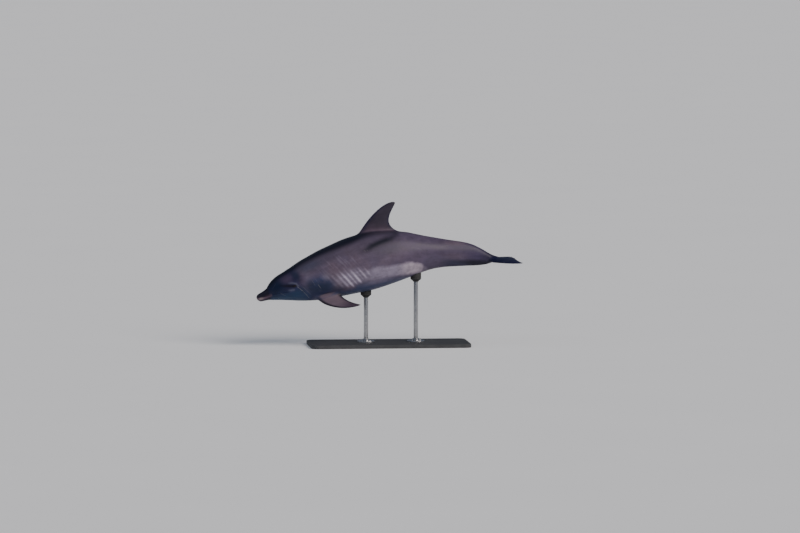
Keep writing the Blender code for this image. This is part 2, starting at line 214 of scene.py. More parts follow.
def half_section(along):
    """The right half of a section, from back to belly: asides, heights and distances from the lip line."""
    middle = LIP(along)
    rounding = min(1.0, max(0.0, (along - BEAK_END) / BEAK_ROUNDING))
    closing = math.sqrt(1 - (1 - rounding) ** 2)
    crowding = np.interp(along, *zip(*LIP_CROWDING))
    turns = np.linspace(0, math.pi / 2, SECTION_STEPS)
    asides, heights, distances = [], [], []
    for sign, count, fullness, reach in (
        (1, COLUMNS_ABOVE, UPPER_FULLNESS(along), TOP(along) - middle),
        (-1, COLUMNS_BELOW, LOWER_FULLNESS(along), middle - BOTTOM(along)),
    ):
        aside = HALF_WIDTH(along) * closing * np.cos(turns) ** (2 / fullness)
        height = reach * closing * np.sin(turns) ** (2 / fullness)
        length = np.concatenate([[0], np.cumsum(np.hypot(np.diff(aside), np.diff(height)))])
        wanted = length[-1] * (np.arange(count + 1) / count) ** crowding
        asides.append(np.interp(wanted, length, aside))
        heights.append(middle + sign * np.interp(wanted, length, height))
        distances.append(sign * wanted * BODY_LENGTH)
    return [np.concatenate([above[::-1], below[1:]]) for above, below in (asides, heights, distances)]


ROWS = row_places()
LIP_COLUMN = COLUMNS_ABOVE
COLUMNS = COLUMNS_ABOVE + COLUMNS_BELOW + 1
sections = [half_section(along) for along in ROWS]
aside_grid, height_grid, lip_distance = (np.array(part) for part in zip(*sections))
along_grid = np.repeat(ROWS[:, None], COLUMNS, 1)
trunk_share = between((0.19, 0.26), (0.90, 0.93), ROWS)[:, None]
for _ in range(ROUNDING_PASSES):  # rounds off the flat and sharp spots where the two halves of a section meet
    aside_wide = np.pad(aside_grid, ((0, 0), (1, 1)), mode="reflect")
    aside_wide[:, 0] *= -1
    aside_wide[:, -1] *= -1
    height_wide = np.pad(height_grid, ((0, 0), (1, 1)), mode="reflect")
    for grid, wide in ((aside_grid, aside_wide), (height_grid, height_wide)):
        grid += trunk_share * 0.25 * (wide[:, :-2] - 2 * grid + wide[:, 2:])
aside_grid[:, [0, -1]] = 0.0


# --- Folds, ribs and the mouth ---
# What the sculptor pressed into the clay: the mouth's line and lips, the crease before the forehead, the ribs
# under the thin blubber, folds behind the head and at the flippers, and the slits of the underside.
def near_path(along, height, path):
    """How far places are from a path seen from the side, in metres."""
    nearest = np.full(np.shape(along), np.inf)
    for (x0, z0), (x1, z1) in zip(path, path[1:]):
        span = (x1 - x0) ** 2 + (z1 - z0) ** 2
        t = np.clip(((along - x0) * (x1 - x0) + (height - z0) * (z1 - z0)) / span, 0, 1)
        away = np.hypot(along - x0 - t * (x1 - x0), height - z0 - t * (z1 - z0))
        nearest = np.minimum(nearest, away * BODY_LENGTH)
    return nearest


def bell(distance, width):
    """1 at no distance, and falling away on both sides to a third at width."""
    return np.exp(-((distance / width) ** 2))


RIB_SLANT, RIB_LEVEL, RIB_HEIGHT = 0.49, -0.030, 0.0026
RIB_NARROWEST, RIB_COVER, RIB_GAP_DEPTH = 0.0075, 0.016, 0.55
RIBS = (  # where it crosses the level, its strength, half its breadth, and the heights it shows between
    (0.2700, 0.14, 0.0100, -0.050, 0.016),
    (0.2900, 0.26, 0.0100, -0.058, 0.010),
    (0.3090, 0.42, 0.0095, -0.064, 0.002),
    (0.3270, 0.60, 0.0085, -0.068, -0.004),
    (0.3455, 1.00, 0.0078, -0.072, -0.006),
    (0.3640, 0.66, 0.0055, -0.066, -0.008),
    (0.3820, 1.00, 0.0080, -0.064, -0.010),
    (0.3985, 0.40, 0.0050, -0.058, -0.012),
    (0.4130, 0.90, 0.0075, -0.052, -0.014),
    (0.4340, 0.60, 0.0070, -0.044, -0.016),
)
EYE_ALONG, EYE_HEIGHT = 0.1510, -0.0012
BROW_RISE, BROW_SPREAD = 0.0022, 0.026  # the low mound that the eye sits on
MOUTH_CORNER, CORNER_DEPTH = 0.135, 0.0016
LIP_BANDS = (  # how far each stands out in metres, its distance above the lip line, and its half width
    (-0.0030, 0.0, 0.0013),
    (0.0011, 0.0060, 0.0034),
    (0.0010, -0.0056, 0.0034),
)
FOREHEAD_CREASE, CREASE_DEPTH, CREASE_WIDTH = 0.0460, 0.0014, 0.0045
STOCK_HOLLOW, HOLLOW_WIDTH = 0.0022, 0.030  # the long hollow in each side of the tail stock
STOCK_EDGES, SLIT_EDGES = ((0.60, 0.70), (0.82, 0.90)), ((0.652, 0.660), (0.694, 0.702))
UNEVEN = 0.0016  # the slow swells of muscle under the skin
SLIT_DEPTH, SLIT_WIDTH = 0.0034, 0.005
PITS = (  # depth in metres, place, how much longer it is than wide, and half its width in metres
    (0.0030, 0.715, 1.0, 0.008),
    (0.0028, 0.478, 1.6, 0.009),
)
BEHIND_EYE = ((0.1561, -0.0043), (0.1650, -0.0171), (0.1738, -0.0303), (0.1811, -0.0475), (0.1899, -0.0655))
FOLDS = (  # depth and width in metres, then the fold's path
    (0.0010, 0.0040, BEHIND_EYE),
    (0.0012, 0.0060, ((0.1763, -0.0119), (0.1867, -0.0291), (0.2004, -0.0552))),
    (0.0010, 0.0070, ((0.2229, 0.0002), (0.2330, -0.0210), (0.2423, -0.0421))),
    (0.0010, 0.0070, ((0.2559, 0.0098), (0.2672, -0.0086), (0.2680, -0.0244))),
    (0.0009, 0.0045, ((0.0861, -0.0200), (0.0958, -0.0240), (0.1070, -0.0330))),
)


def rib_wave(along, height):
    """The ribs' crests, 1 on the strongest, and how much of the flank they cover."""
    crest, cover = np.zeros(np.shape(along)), np.zeros(np.shape(along))
    for place, strength, breadth, low, high in RIBS:
        away = along + RIB_SLANT * (height - RIB_LEVEL) - place
        shown = ease(low - 0.012, low + 0.010, height) * (1 - 0.84 * ease(high - 0.022, high + 0.018, height))
        shown *= strength * (1 - ease(0.035, 0.066, height))
        crest = np.maximum(crest, shown * bell(away, max(breadth, RIB_NARROWEST)))
        cover = np.maximum(cover, shown * bell(away, RIB_COVER))
    return crest, cover


def relief(along, aside, height, from_lip):
    """How far the finished surface stands off the plain sections, in metres."""
    metres, middle = along * BODY_LENGTH, np.abs(aside) * BODY_LENGTH
    mouth = 1 - ease(0.127, 0.137, along)
    push = sum(rise * bell(from_lip - place, width) for rise, place, width in LIP_BANDS) * mouth
    push -= CORNER_DEPTH * bell(metres - MOUTH_CORNER * BODY_LENGTH, 0.006) * bell(from_lip - 0.001, 0.005)
    crease = bell(metres - FOREHEAD_CREASE * BODY_LENGTH, CREASE_WIDTH)
    push -= CREASE_DEPTH * crease * ease(0.006, 0.02, from_lip)
    push += BROW_RISE * bell(np.hypot(along - EYE_ALONG, height - EYE_HEIGHT) * BODY_LENGTH, BROW_SPREAD)
    for depth, width, path in FOLDS:
        push -= depth * bell(near_path(along, height, path), width)
    crest, cover = rib_wave(along, height)
    push += RIB_HEIGHT * (crest - RIB_GAP_DEPTH * cover)
    push -= STOCK_HOLLOW * bell(from_lip, HOLLOW_WIDTH) * between(*STOCK_EDGES, along)
    swell = np.sin(along * 41 + height * 37) * np.sin(height * 53 - along * 13)
    push += UNEVEN * swell * ease(0.2, 0.3, along)
    below = ease(0.01, 0.03, -height)
    push -= SLIT_DEPTH * bell(middle, SLIT_WIDTH) * below * between(*SLIT_EDGES, along)
    for depth, place, stretch, width in PITS:
        push -= depth * bell(np.hypot(middle, (metres - place * BODY_LENGTH) / stretch), width) * below
    return push


def grid_normals(points):
    """Outward directions over the grid, with the midline's kept in the middle plane."""
    lengthways, around = np.gradient(points, axis=0), np.gradient(points, axis=1)
    normals = np.cross(lengthways, around)
    normals /= np.linalg.norm(normals, axis=2, keepdims=True) + 1e-12
    outward = points - on_body(along_grid, 0 * along_grid, LIP(along_grid))
    flip = np.sign((normals * outward).sum((1, 2)))
    normals *= np.where(flip == 0, 1, flip)[:, None, None]
    normals[:, [0, -1], 1] = 0
    return normals / (np.linalg.norm(normals, axis=2, keepdims=True) + 1e-12)


grid = on_body(along_grid, aside_grid, height_grid)
tip_share = ease(0.0, 0.004, along_grid - BEAK_END)
raised = relief(along_grid, aside_grid, height_grid, lip_distance) * tip_share
grid += grid_normals(grid) * raised[..., None]
grid[:, [0, -1], 1] = 0.0
normals = grid_normals(grid)


# --- Openings for fins, eyes and blowhole ---
# Each fin, eyelid and the blowhole is modelled out of the same surface: a patch of the grid is taken out and
# rings of points carry on from its border, so the casting has no seam anywhere.
points = [grid.reshape(-1, 3)]
point_count = grid.shape[0] * COLUMNS
faces, face_maps = [], []
open_patch = np.zeros((len(ROWS) - 1, COLUMNS - 1), bool)
relax = [np.zeros(point_count)]  # how far each point is evened out with its neighbours
blades = [np.zeros((point_count, 4))]  # shares of dorsal fin, flipper and fluke, and place from front to rear
STRIP, TILE, TILE_FOOT = 0.60, 0.185, 0.012  # heights in the skin's map: the body's strip, and a fin's tile


def patch_border(first_row, last_row, middle, reach):
    """The border of a patch that reaches so many columns to both sides of a middle one, from its front edge's
    middle. A patch across the back has column 0 as its middle, and only its own half of the border."""
    whole = middle > 0
    first, last = middle - reach if whole else 0, middle + reach
    open_patch[first_row:last_row, first:last] = True
    front = [(first_row, c) for c in range(middle, last)]
    side = [(r, last) for r in range(first_row, last_row)]
    rear = [(last_row, c) for c in range(last, first, -1)]
    if not whole:
        return front + side + rear + [(last_row, first)]
    far_side = [(r, first) for r in range(last_row, first_row, -1)]
    return front + side + rear + far_side + [(first_row, c) for c in range(first, middle)]


def grow(border, rings, tile, ending, blade=None, relaxed=None):
    """Joins rings of points to a patch's border one after the other, and closes the last one."""
    global point_count
    whole = ending in ("zip", "pole")
    size = len(border)
    loops = [np.array([r * COLUMNS + c for r, c in border])]
    for number, ring in enumerate(rings):
        ring = ring.copy()
        if not whole:
            ring[[0, -1], 1] = 0.0
        loops.append(np.arange(size) + point_count)
        points.append(ring)
        point_count += size
        relax.append(np.full(size, 0.0 if relaxed is None else relaxed[number]))
        blades.append(np.zeros((size, 4)) if blade is None else blade[number])
    left, width = tile
    steps = size if whole else size - 1
    for level, (near, far) in enumerate(zip(loops, loops[1:])):
        low, high = (STRIP + TILE_FOOT + TILE * (level + k) / len(rings) for k in (0, 1))
        for i in range(steps):
            j = (i + 1) % size
            faces.append((near[i], near[j], far[j], far[i]))
            x0, x1 = left + width * i / steps, left + width * (i + 1) / steps
            face_maps.append(((x0, low), (x1, low), (x1, high), (x0, high)))
    last = loops[-1]
    if ending == "pole":
        closing = [(last[i], last[(i + 1) % size], point_count) for i in range(size)]
        points.append(rings[-1].mean(0)[None])
        relax.append(np.zeros(1))
        blades.append(np.zeros((1, 4)))
        point_count += 1
    elif ending == "zip":
        closing = [[last[k % size] for k in (i, i + 1, size - i - 1, size - i)] for i in range(size // 2)]
    elif ending == "half zip":
        pairs = range((size - 1) // 2)
        closing = [(last[i], last[i + 1], last[size - 2 - i], last[size - 1 - i]) for i in pairs]
    else:
        closing = []
    faces.extend(tuple(face) for face in closing)
    face_maps.extend(((left + width / 2, STRIP + TILE_FOOT + TILE),) * len(face) for face in closing)


def row_at(along):
    """The section nearest to a place along the body."""
    return int(np.argmin(np.abs(ROWS - along)))


# --- Fins ---
# The dorsal fin, the flippers and the flukes are stiff blades of tissue with rounded front edges and thin
# rear ones. A broad fillet carries each one's root over into the body, as the animal's own blubber does.
DORSAL_BLADE = (  # the front edge's and the rear edge's controls, and the thickness at the root and the tip
    ((0.420, 0.088), (0.4690, 0.145), (0.541, 0.216), (0.5800, 0.2090)),
    ((0.604, 0.078), (0.5300, 0.120), (0.552, 0.150), (0.5840, 0.2040)),
    (0.0215, 0.0030),
)
FLIPPER_BLADE = (
    ((0.203, -0.022), (0.2330, 0.034), (0.286, 0.080), (0.3660, 0.0800)),
    ((0.303, -0.022), (0.3055, 0.022), (0.325, 0.050), (0.3680, 0.0775)),
    (0.0190, 0.0028),
)
FLUKE_BLADE = (
    ((0.9220, 0.000), (0.942, 0.048), (0.980, 0.102), (1.0420, 0.1260)),
    ((0.9980, 0.000), (1.028, 0.014), (1.014, 0.080), (1.0440, 0.1235)),
    (0.0195, 0.0030),
)
DORSAL_PATCH, FLIPPER_PATCH, FLUKE_PATCH = (0.424, 0.602), (0.207, 0.324), (0.922, 0.9935)
DORSAL_REACH, FLIPPER_REACH, FLUKE_REACH = 7, 5, 28  # in columns of the grid
FLIPPER_ROOT = (0.250, 0.050, -0.083)  # along, aside and height of the blade's zero line
FLIPPER_MIDDLE, FLIPPER_SPLAY = 0.258, math.radians(36.0)
RIGHT_DROP, LEFT_DROP = math.radians(8.0), 0.0  # how far each blade is turned down in its own plane
FLUKE_HEIGHT, FLUKE_MIDDLE, FLUKE_TIP = -0.0026, 0.965, 0.1260
FLUKE_PITCH, FLUKE_TIP_DROP, FLUKE_BEND = math.tan(math.radians(17.0)), 0.0200, 1.6
THINNEST, THINNEST_AT_TIP = 0.0012, 0.25  # the rear edges, in metres, and the share of it left at the tips
FILLET_STEPS, FILLET_PULL, FILLET_PROBE, RING_CROWDING = 9, 0.45, 0.02, 1.15
EVENED_ROOT, EVENED_FALL = 1.8, 0.4  # how far the rings near a root are evened out, and how fast that ends
TIP_START, TIP_MIDDLE, TIP_WIDTH = 0.93, 0.55, 0.35  # where a tip starts to round off, and what it closes to


def bezier(controls, t):
    """The point at t, from 0 to 1, on a curve with four control points."""
    a, b, c, d = (np.array(point) for point in controls)
    return a * (1 - t) ** 3 + 3 * b * t * (1 - t) ** 2 + 3 * c * t * t * (1 - t) + d * t**3


def blade_profile(share):
    """A fin section's half thickness from its front edge, 0, to its rear edge, 1, with 1 at the thickest."""
    rest = 1.26 * share + 3.516 * share**2 - 2.843 * share**3 + 1.036 * share**4
    return 2.969 * np.sqrt(share) - rest


def blade_ring(outline, turns, t, place):
    """One ring round a fin at t of the way from its root to its tip, which rounds off at the end."""
    leading, trailing, thickness = outline
    front, rear = bezier(leading, t), bezier(trailing, t)
    rounding = math.sqrt(max(0.0, 1 - max(0.0, (t - TIP_START) / (1 - TIP_START)) ** 2))
    middle = front * (1 - TIP_MIDDLE) + rear * TIP_MIDDLE
    narrowing = TIP_WIDTH + (1 - TIP_WIDTH) * rounding
    front, rear = (middle + (edge - middle) * narrowing for edge in (front, rear))
    share = (1 - np.cos(turns)) / 2
    half = (thickness[0] * (1 - t) + thickness[1] * t) / 2 * rounding
    thinnest = THINNEST / 2 / BODY_LENGTH * (THINNEST_AT_TIP + (1 - THINNEST_AT_TIP) * rounding)
    offset = np.maximum(half * blade_profile(share), thinnest)
    spots = front + (rear - front) * share[:, None]
    return place(spots, offset * np.sign(np.sin(turns)) * (np.abs(np.sin(turns)) > 1e-6))


left_rings = []  # where the left side's points differ from the right's mirror image


def fin_rings(root, out, outline, turns, place, start, steps):
    """A fillet's rings from the body to start on the blade, and then the blade's own rings."""
    foot = blade_ring(outline, turns, start, place)
    rising = blade_ring(outline, turns, start + FILLET_PROBE, place) - foot
    rising /= np.linalg.norm(rising, axis=1, keepdims=True)
    across = foot - root
    length = np.linalg.norm(across, axis=1, keepdims=True)
    inward = across - out * (across * out).sum(1, keepdims=True)
    inward /= np.linalg.norm(inward, axis=1, keepdims=True) + 1e-9
    controls = (root, root + inward * length * FILLET_PULL, foot - rising * length * FILLET_PULL, foot)
    fillet = [bezier(controls, t) for t in np.arange(1, FILLET_STEPS + 1) / FILLET_STEPS]
    levels = start + (1 - start) * np.sin(math.pi / 2 * np.arange(1, steps + 1) / steps) ** RING_CROWDING
    return fillet + [blade_ring(outline, turns, t, place) for t in levels]


def grow_fin(border, outline, turns, place, *, start, steps, kind, tile, ending, left_place=None):
    """A fin on a patch's border. Start is how far up the blade the fillet ends, from 0 to 1."""
    root = np.array([grid[r, c] for r, c in border])
    out = np.array([normals[r, c] for r, c in border])
    made = fin_rings(root, out, outline, turns, place, start, steps)
    if left_place:
        others = fin_rings(root, out, outline, turns, left_place, start, steps)
        left_rings.append((point_count, np.concatenate(others)))
    span = np.minimum(np.arange(1, len(made) + 1) / FILLET_STEPS * 0.5, 0.5)
    span += 0.5 * np.maximum(np.arange(1, len(made) + 1) - FILLET_STEPS, 0) / steps
    blade = np.zeros((len(made), len(border), 4))
    blade[:, :, kind] = span[:, None]
    blade[:, :, 3] = (1 - np.cos(turns)) / 2
    relaxed = np.clip(EVENED_ROOT - EVENED_FALL * (np.arange(len(made)) - FILLET_STEPS + 3), 0, 1)
    grow(border, made, tile, ending, blade, relaxed)


def dorsal_place(spots, offset):
    """Places the dorsal fin's outline upright over the spine."""
    return on_body(spots[:, 0], offset, spots[:, 1])


def flipper_placing(drop):
    """Places a flipper's outline in its plane, turned down by drop."""
    angle = float(spine_angle(FLIPPER_ROOT[0]))
    back = np.array((math.cos(angle), 0, math.sin(angle)))
    up = np.array((-math.sin(angle), 0, math.cos(angle)))
    out = np.array((0, 1, 0))
    hanging = out * math.sin(FLIPPER_SPLAY) - up * math.cos(FLIPPER_SPLAY)
    face = out * math.cos(FLIPPER_SPLAY) + up * math.sin(FLIPPER_SPLAY)
    lengthways = back * math.cos(drop) + hanging * math.sin(drop)
    down = hanging * math.cos(drop) - back * math.sin(drop)
    root = on_body(*FLIPPER_ROOT)

    def place(spots, offset):
        reach = np.outer(spots[:, 0] - FLIPPER_ROOT[0], lengthways) + np.outer(spots[:, 1], down)
        return root + (reach - np.outer(offset, face)) * BODY_LENGTH

    return place, root, face


def fluke_place(spots, offset):
    """Places a fluke's outline, with its rear edge turned up and its tip bent down."""
    drop = FLUKE_TIP_DROP * (np.abs(spots[:, 1]) / FLUKE_TIP) ** FLUKE_BEND
    height = FLUKE_HEIGHT + FLUKE_PITCH * (spots[:, 0] - FLUKE_MIDDLE) - drop
    return on_body(spots[:, 0], spots[:, 1], height - offset)


def whole_turns(border):
    """An even turn round a fin for each point of its border, from the front edge."""
    return 2 * math.pi * np.arange(len(border)) / len(border)


border = patch_border(*map(row_at, DORSAL_PATCH), 0, DORSAL_REACH)
turns = np.linspace(0, math.pi, len(border))
grow_fin(border, DORSAL_BLADE, turns, dorsal_place,
         start=0.20, steps=36, kind=0, tile=(0.01, 0.27), ending="half")

right_place, flipper_root, flipper_face = flipper_placing(RIGHT_DROP)
to_blade = np.abs((grid[row_at(FLIPPER_MIDDLE)] - flipper_root) @ flipper_face)
to_blade[:LIP_COLUMN] = 1.0
border = patch_border(*map(row_at, FLIPPER_PATCH), int(np.argmin(to_blade)), FLIPPER_REACH)
left_place = flipper_placing(LEFT_DROP)[0]
grow_fin(border, FLIPPER_BLADE, whole_turns(border), right_place,
         start=0.24, steps=34, kind=1, tile=(0.30, 0.27), ending="zip", left_place=left_place)

border = patch_border(*map(row_at, FLUKE_PATCH), LIP_COLUMN, FLUKE_REACH)
grow_fin(border, FLUKE_BLADE, whole_turns(border), fluke_place,
         start=0.17, steps=30, kind=2, tile=(0.59, 0.24), ending="zip")


# --- Eyelids and blowhole ---
# The lids are thick soft rolls that lie on the eyeball, with a fold round them, and the socket closes behind
# the ball. The blowhole is a crescent slit with raised lips, whose horns point to the beak.
EYE_RADIUS = 0.0135
LID_THICKNESS, SOCKET_GAP = 0.0015, 0.0003
LID_LENGTH, UPPER_LID, LOWER_LID = 0.0096, 0.0052, 0.0044  # half the opening's size
LID_TILT, LID_CORNERS = math.radians(-7), 0.22
LID_MELT, LID_SINK, LID_HOLD = 0.0014, 0.0002, 0.4  # how softly the lid's roll runs into the cheek
LID_FOLDS = ((0.0008, 0.0034, 0.0009), (0.0004, 0.0068, 0.0012))  # depth, distance from the slit, half width
LID_SHARES = (0.12, 0.25, 0.38, 0.50, 0.60, 0.69, 0.77, 0.84, 0.90, 0.95, 1.0)
LID_EDGE = ((-0.0003, 0.0014), (-0.0005, 0.0011), (-0.0006, 0.0007), (-0.0004, SOCKET_GAP))  # size, thickness
SOCKET_SHARES = (0.0, 0.15, 0.32, 0.5, 0.68, 0.84, 0.95)
BLOWHOLE_ALONG = 0.1455
BLOWHOLE_HALF, BLOWHOLE_BOW, BLOWHOLE_GAP = 0.017, 0.010, 0.0009
BLOWHOLE_RINGS = (  # share of the way in from the border, distance from the slit and rise, in metres
    (0.25, 0.0070, 0.0000),
    (0.50, 0.0055, 0.0000),
    (0.75, 0.0045, 0.0000),
    (1.00, 0.0034, 0.0002),
    (1.00, 0.0024, 0.0008),
    (1.00, 0.0015, 0.0011),
    (1.00, 0.0008, 0.0008),
    (1.00, 0.0003, 0.0000),
    (1.00, 0.0000, -0.0014),
    (1.00, -0.0003, -0.0050),
)


def patch_frame(border, centre, out):
    """Local axes on a patch, backwards, up and out, and its own smooth surface over the first two."""
    rows, columns = zip(*border)
    out = out / np.linalg.norm(out)
    back = on_body(np.array(ROWS[rows[0]] + 0.02), 0, 0) - on_body(np.array(ROWS[rows[0]]), 0, 0)
    back -= out * (back @ out)
    back /= np.linalg.norm(back)
    up = np.cross(back, out)
    up *= np.sign(up @ (0, 0.5, 1))
    patch = grid[min(rows) : max(rows) + 1, min(columns) : max(columns) + 1].reshape(-1, 3) - centre
    a, b, c = patch @ back, patch @ up, patch @ out

    def terms(a, b):
        return np.stack([np.ones_like(a), a, b, a * a, a * b, b * b], -1)

    bend = np.linalg.lstsq(terms(a, b), c, rcond=None)[0]
    edge = np.array([grid[r, c] for r, c in border]) - centre
    axes = np.stack([back, up, out])
    return axes, edge @ axes.T, lambda a, b: terms(a, b) @ bend


eye_low, eye_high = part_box("eye_right")
eye_centre = (np.array(eye_low) + np.array(eye_high)) / 2
eye_row = row_at(EYE_ALONG)
eye_column = int(np.argmin(np.abs(height_grid[eye_row, : LIP_COLUMN + 1] - EYE_HEIGHT)))
border = patch_border(eye_row - 7, eye_row + 7, eye_column, 4)
eye_axes, edge, eye_surface = patch_frame(border, eye_centre, normals[eye_row, eye_column])
lift = edge[:, 2] - eye_surface(edge[:, 0], edge[:, 1])
phi = np.arctan2(edge[:, 1] / np.ptp(edge[:, 1]), edge[:, 0] / np.ptp(edge[:, 0]))


def lid_line(size):
    """The lids' opening at each border point, larger by size in metres."""
    height = np.where(np.sin(phi) > 0, UPPER_LID, LOWER_LID) + size
    a = (LID_LENGTH + size) * np.cos(phi)
    b = height * np.sin(phi) * (1 - LID_CORNERS * np.cos(phi) ** 2)
    turned_a = a * math.cos(LID_TILT) - b * math.sin(LID_TILT)
    return np.stack([turned_a, a * math.sin(LID_TILT) + b * math.cos(LID_TILT)], -1)


def over_ball(a, b, thickness):
    """How far out a layer of some thickness on the eyeball lies."""
    return np.sqrt(np.maximum((EYE_RADIUS + thickness) ** 2 - a * a - b * b, 0))


def by_eye(a, b, c):
    """The points in space at places backwards, up and out from the eye's centre."""
    return eye_centre + np.stack([a, b, c], -1) @ eye_axes


rings = []
opening = lid_line(0.0)
for share in LID_SHARES:
    spot = edge[:, :2] * (1 - share) + opening * share
    a, b = spot[:, 0], spot[:, 1]
    plain = eye_surface(a, b) + lift * (1 - share)
    ball = over_ball(a, b, LID_THICKNESS)
    c = (plain + ball + np.sqrt((plain - ball) ** 2 + LID_MELT**2)) / 2 - LID_SINK * share
    away = np.linalg.norm(spot - opening, axis=1)
    for depth, distance, width in LID_FOLDS:
        c -= depth * bell(away - distance, width) * share
    rings.append(by_eye(a, b, c * share**LID_HOLD + plain * (1 - share**LID_HOLD)))
for size, thickness in LID_EDGE:
    a, b = lid_line(size).T
    rings.append(by_eye(a, b, over_ball(a, b, thickness)))
a, b = lid_line(0.0002).T
socket_radius = EYE_RADIUS + SOCKET_GAP
first_turn = np.arcsin(np.hypot(a, b) / socket_radius)
sweep = np.arctan2(b, a)
for share in SOCKET_SHARES:
    turn = first_turn + (math.pi - first_turn) * share
    flat, deep = socket_radius * np.sin(turn), socket_radius * np.cos(turn)
    rings.append(by_eye(flat * np.cos(sweep), flat * np.sin(sweep), deep))
grow(border, rings, (0.85, 0.09), "pole")

hole_row = row_at(BLOWHOLE_ALONG)
border = patch_border(hole_row - 8, hole_row + 8, 0, 4)
hole_centre = grid[hole_row, 0]
hole_axes, edge, hole_surface = patch_frame(border, hole_centre, normals[hole_row, 0])
lift = edge[:, 2] - hole_surface(edge[:, 0], edge[:, 1])
edge[:, 1] = np.abs(edge[:, 1])
psi = np.linspace(0, math.pi, len(border))
rings = []
for share, size, rise in BLOWHOLE_RINGS:
    half_slit = (BLOWHOLE_HALF + size) * np.sin(psi)
    bow = 0.4 * BLOWHOLE_BOW - BLOWHOLE_BOW * (half_slit / BLOWHOLE_HALF) ** 2
    slit = np.stack([bow - (BLOWHOLE_GAP + size) * np.cos(psi), half_slit], -1)
    spot = edge[:, :2] * (1 - share) + slit * share
    c = hole_surface(spot[:, 0], spot[:, 1]) + lift * (1 - share) + rise
    ring = hole_centre + np.outer(spot[:, 0], hole_axes[0]) + np.outer(c, hole_axes[2])
    ring[:, 1] = spot[:, 1]
    rings.append(ring)
grow(border, rings, (0.945, 0.045), "half zip")


# --- The whole hide ---
# Both halves of the casting joined along the middle plane. The painter's guide marks go with it as fields
# over the
# surface: the dark cape, the pale flank, the belly's painted shade, the face's strokes and each fin, and
# where painted shade lies under the throat, over the shoulder and in a furrow below the dorsal fin, and a
# painted highlight on the brow.
SPREAD_PASSES, SPREAD_SHARE, EVENING_PASSES = 3, 0.6, 20  # evens out the fins' roots and the body round them
MAP_ALONG, MAP_AROUND = ROWS - BEAK_END, STRIP / 2 * (1 - np.arange(COLUMNS) / (COLUMNS - 1))
for r, c in np.argwhere(~open_patch):
    corner = r * COLUMNS + c
    faces.append((corner, corner + 1, corner + COLUMNS + 1, corner + COLUMNS))
    (x0, x1), (y0, y1) = MAP_ALONG[r : r + 2], MAP_AROUND[c : c + 2]
    face_maps.append(((x0, y0), (x0, y1), (x1, y1), (x1, y0)))
for row, along in ((0, BEAK_END - 0.0002), (len(ROWS) - 1, ROWS[-1] + 0.0014)):
    points.append(on_body(along, 0.0, LIP(ROWS[row]))[None])
    relax.append(np.zeros(1))
    blades.append(np.zeros((1, 4)))
    for c in range(COLUMNS - 1):
        faces.append((row * COLUMNS + c, row * COLUMNS + c + 1, point_count))
        x, (y0, y1) = MAP_ALONG[row], MAP_AROUND[c : c + 2]
        face_maps.append(((x, y0), (x, y1), (max(0, x - 0.001), (y0 + y1) / 2)))
    point_count += 1

half_points = np.concatenate(points)
half_points[:, 1] = np.where(np.abs(half_points[:, 1]) < 1e-6, 0, half_points[:, 1])
on_middle = half_points[:, 1] == 0
twin = np.arange(point_count)
twin[~on_middle] = point_count + np.arange((~on_middle).sum())
left_points = half_points.copy()
for first, others in left_rings:
    left_points[first : first + len(others)] = others
all_points = np.concatenate([half_points, left_points[~on_middle] * (1, -1, 1)])
blades, relax = (np.concatenate(half) for half in (blades, relax))
blade_shares, relax_shares = (np.concatenate([half, half[~on_middle]]) for half in (blades, relax))
all_faces = faces + [tuple(twin[i] for i in reversed(face)) for face in faces]


def other_half(spot):
    """Where a map point's mirror image lies: over the back in the body's strip, or on the tile above."""
    return (spot[0], STRIP - spot[1]) if spot[1] <= STRIP / 2 + 1e-9 else (spot[0], spot[1] + TILE + 0.01)


all_maps = face_maps + [tuple(other_half(spot) for spot in reversed(face)) for face in face_maps]

edges = np.array([pair for face in all_faces for pair in zip(face, face[1:] + face[:1])])
edges = np.concatenate([edges, edges[:, ::-1]])
neighbours = np.bincount(edges[:, 0], minlength=len(all_points))[:, None]
near_fin = relax_shares.copy()
for _ in range(SPREAD_PASSES):
    np.maximum.at(near_fin, edges[:, 0], near_fin[edges[:, 1]] * SPREAD_SHARE)
for _ in range(EVENING_PASSES):
    sums = [np.bincount(edges[:, 0], all_points[edges[:, 1], k], len(all_points)) for k in range(3)]
    evened = np.stack(sums, -1) / np.maximum(neighbours, 1) - all_points
    all_points = all_points + 0.5 * near_fin[:, None] * evened

CAPE_EDGE = smooth_line((
    (0.000, 0.0030), (0.040, 0.0110), (0.060, 0.0235), (0.100, 0.0415), (0.150, 0.0535), (0.193, 0.0638),
    (0.279, 0.0775), (0.359, 0.0844), (0.406, 0.0895), (0.447, 0.0965), (0.500, 0.1000), (0.550, 0.0930),
    (0.590, 0.0850), (0.660, 0.0800),
))
PATCH_TOP = smooth_line((
    (0.400, -0.0300), (0.425, -0.0235), (0.441, -0.0190), (0.468, -0.0132), (0.490, -0.0170),
    (0.520, -0.0225), (0.560, -0.0215), (0.609, -0.0205), (0.645, -0.0285), (0.673, -0.0440),
    (0.688, -0.0590), (0.702, -0.0750),
))
BELLY_EDGE = smooth_line((
    (0.200, -0.0700), (0.271, -0.0640), (0.300, -0.0660), (0.332, -0.0760), (0.362, -0.0790),
    (0.385, -0.0700), (0.410, -0.0675), (0.453, -0.0725), (0.478, -0.0755), (0.520, -0.0765),
    (0.563, -0.0785), (0.589, -0.0800), (0.621, -0.0815), (0.663, -0.0760), (0.700, -0.0690),
))
STOCK_EDGE = smooth_line((
    (0.600, -0.0300), (0.660, -0.0140), (0.695, -0.0062), (0.782, -0.0086), (0.900, -0.0060),
))
PATCH_FRONT = 0.405
# The path of a furrow below the dorsal fin, painted dark as painted shade.
FURROW_SHADE_PATH = (
    (0.5700, 0.0840), (0.5465, 0.0739), (0.5103, 0.0688), (0.4724, 0.0611), (0.4443, 0.0534),
    (0.4089, 0.0485),
)
LIPS_PATH = ((-0.002, -0.0095), (0.018, -0.0150), (0.038, -0.0128), (0.056, -0.0105))
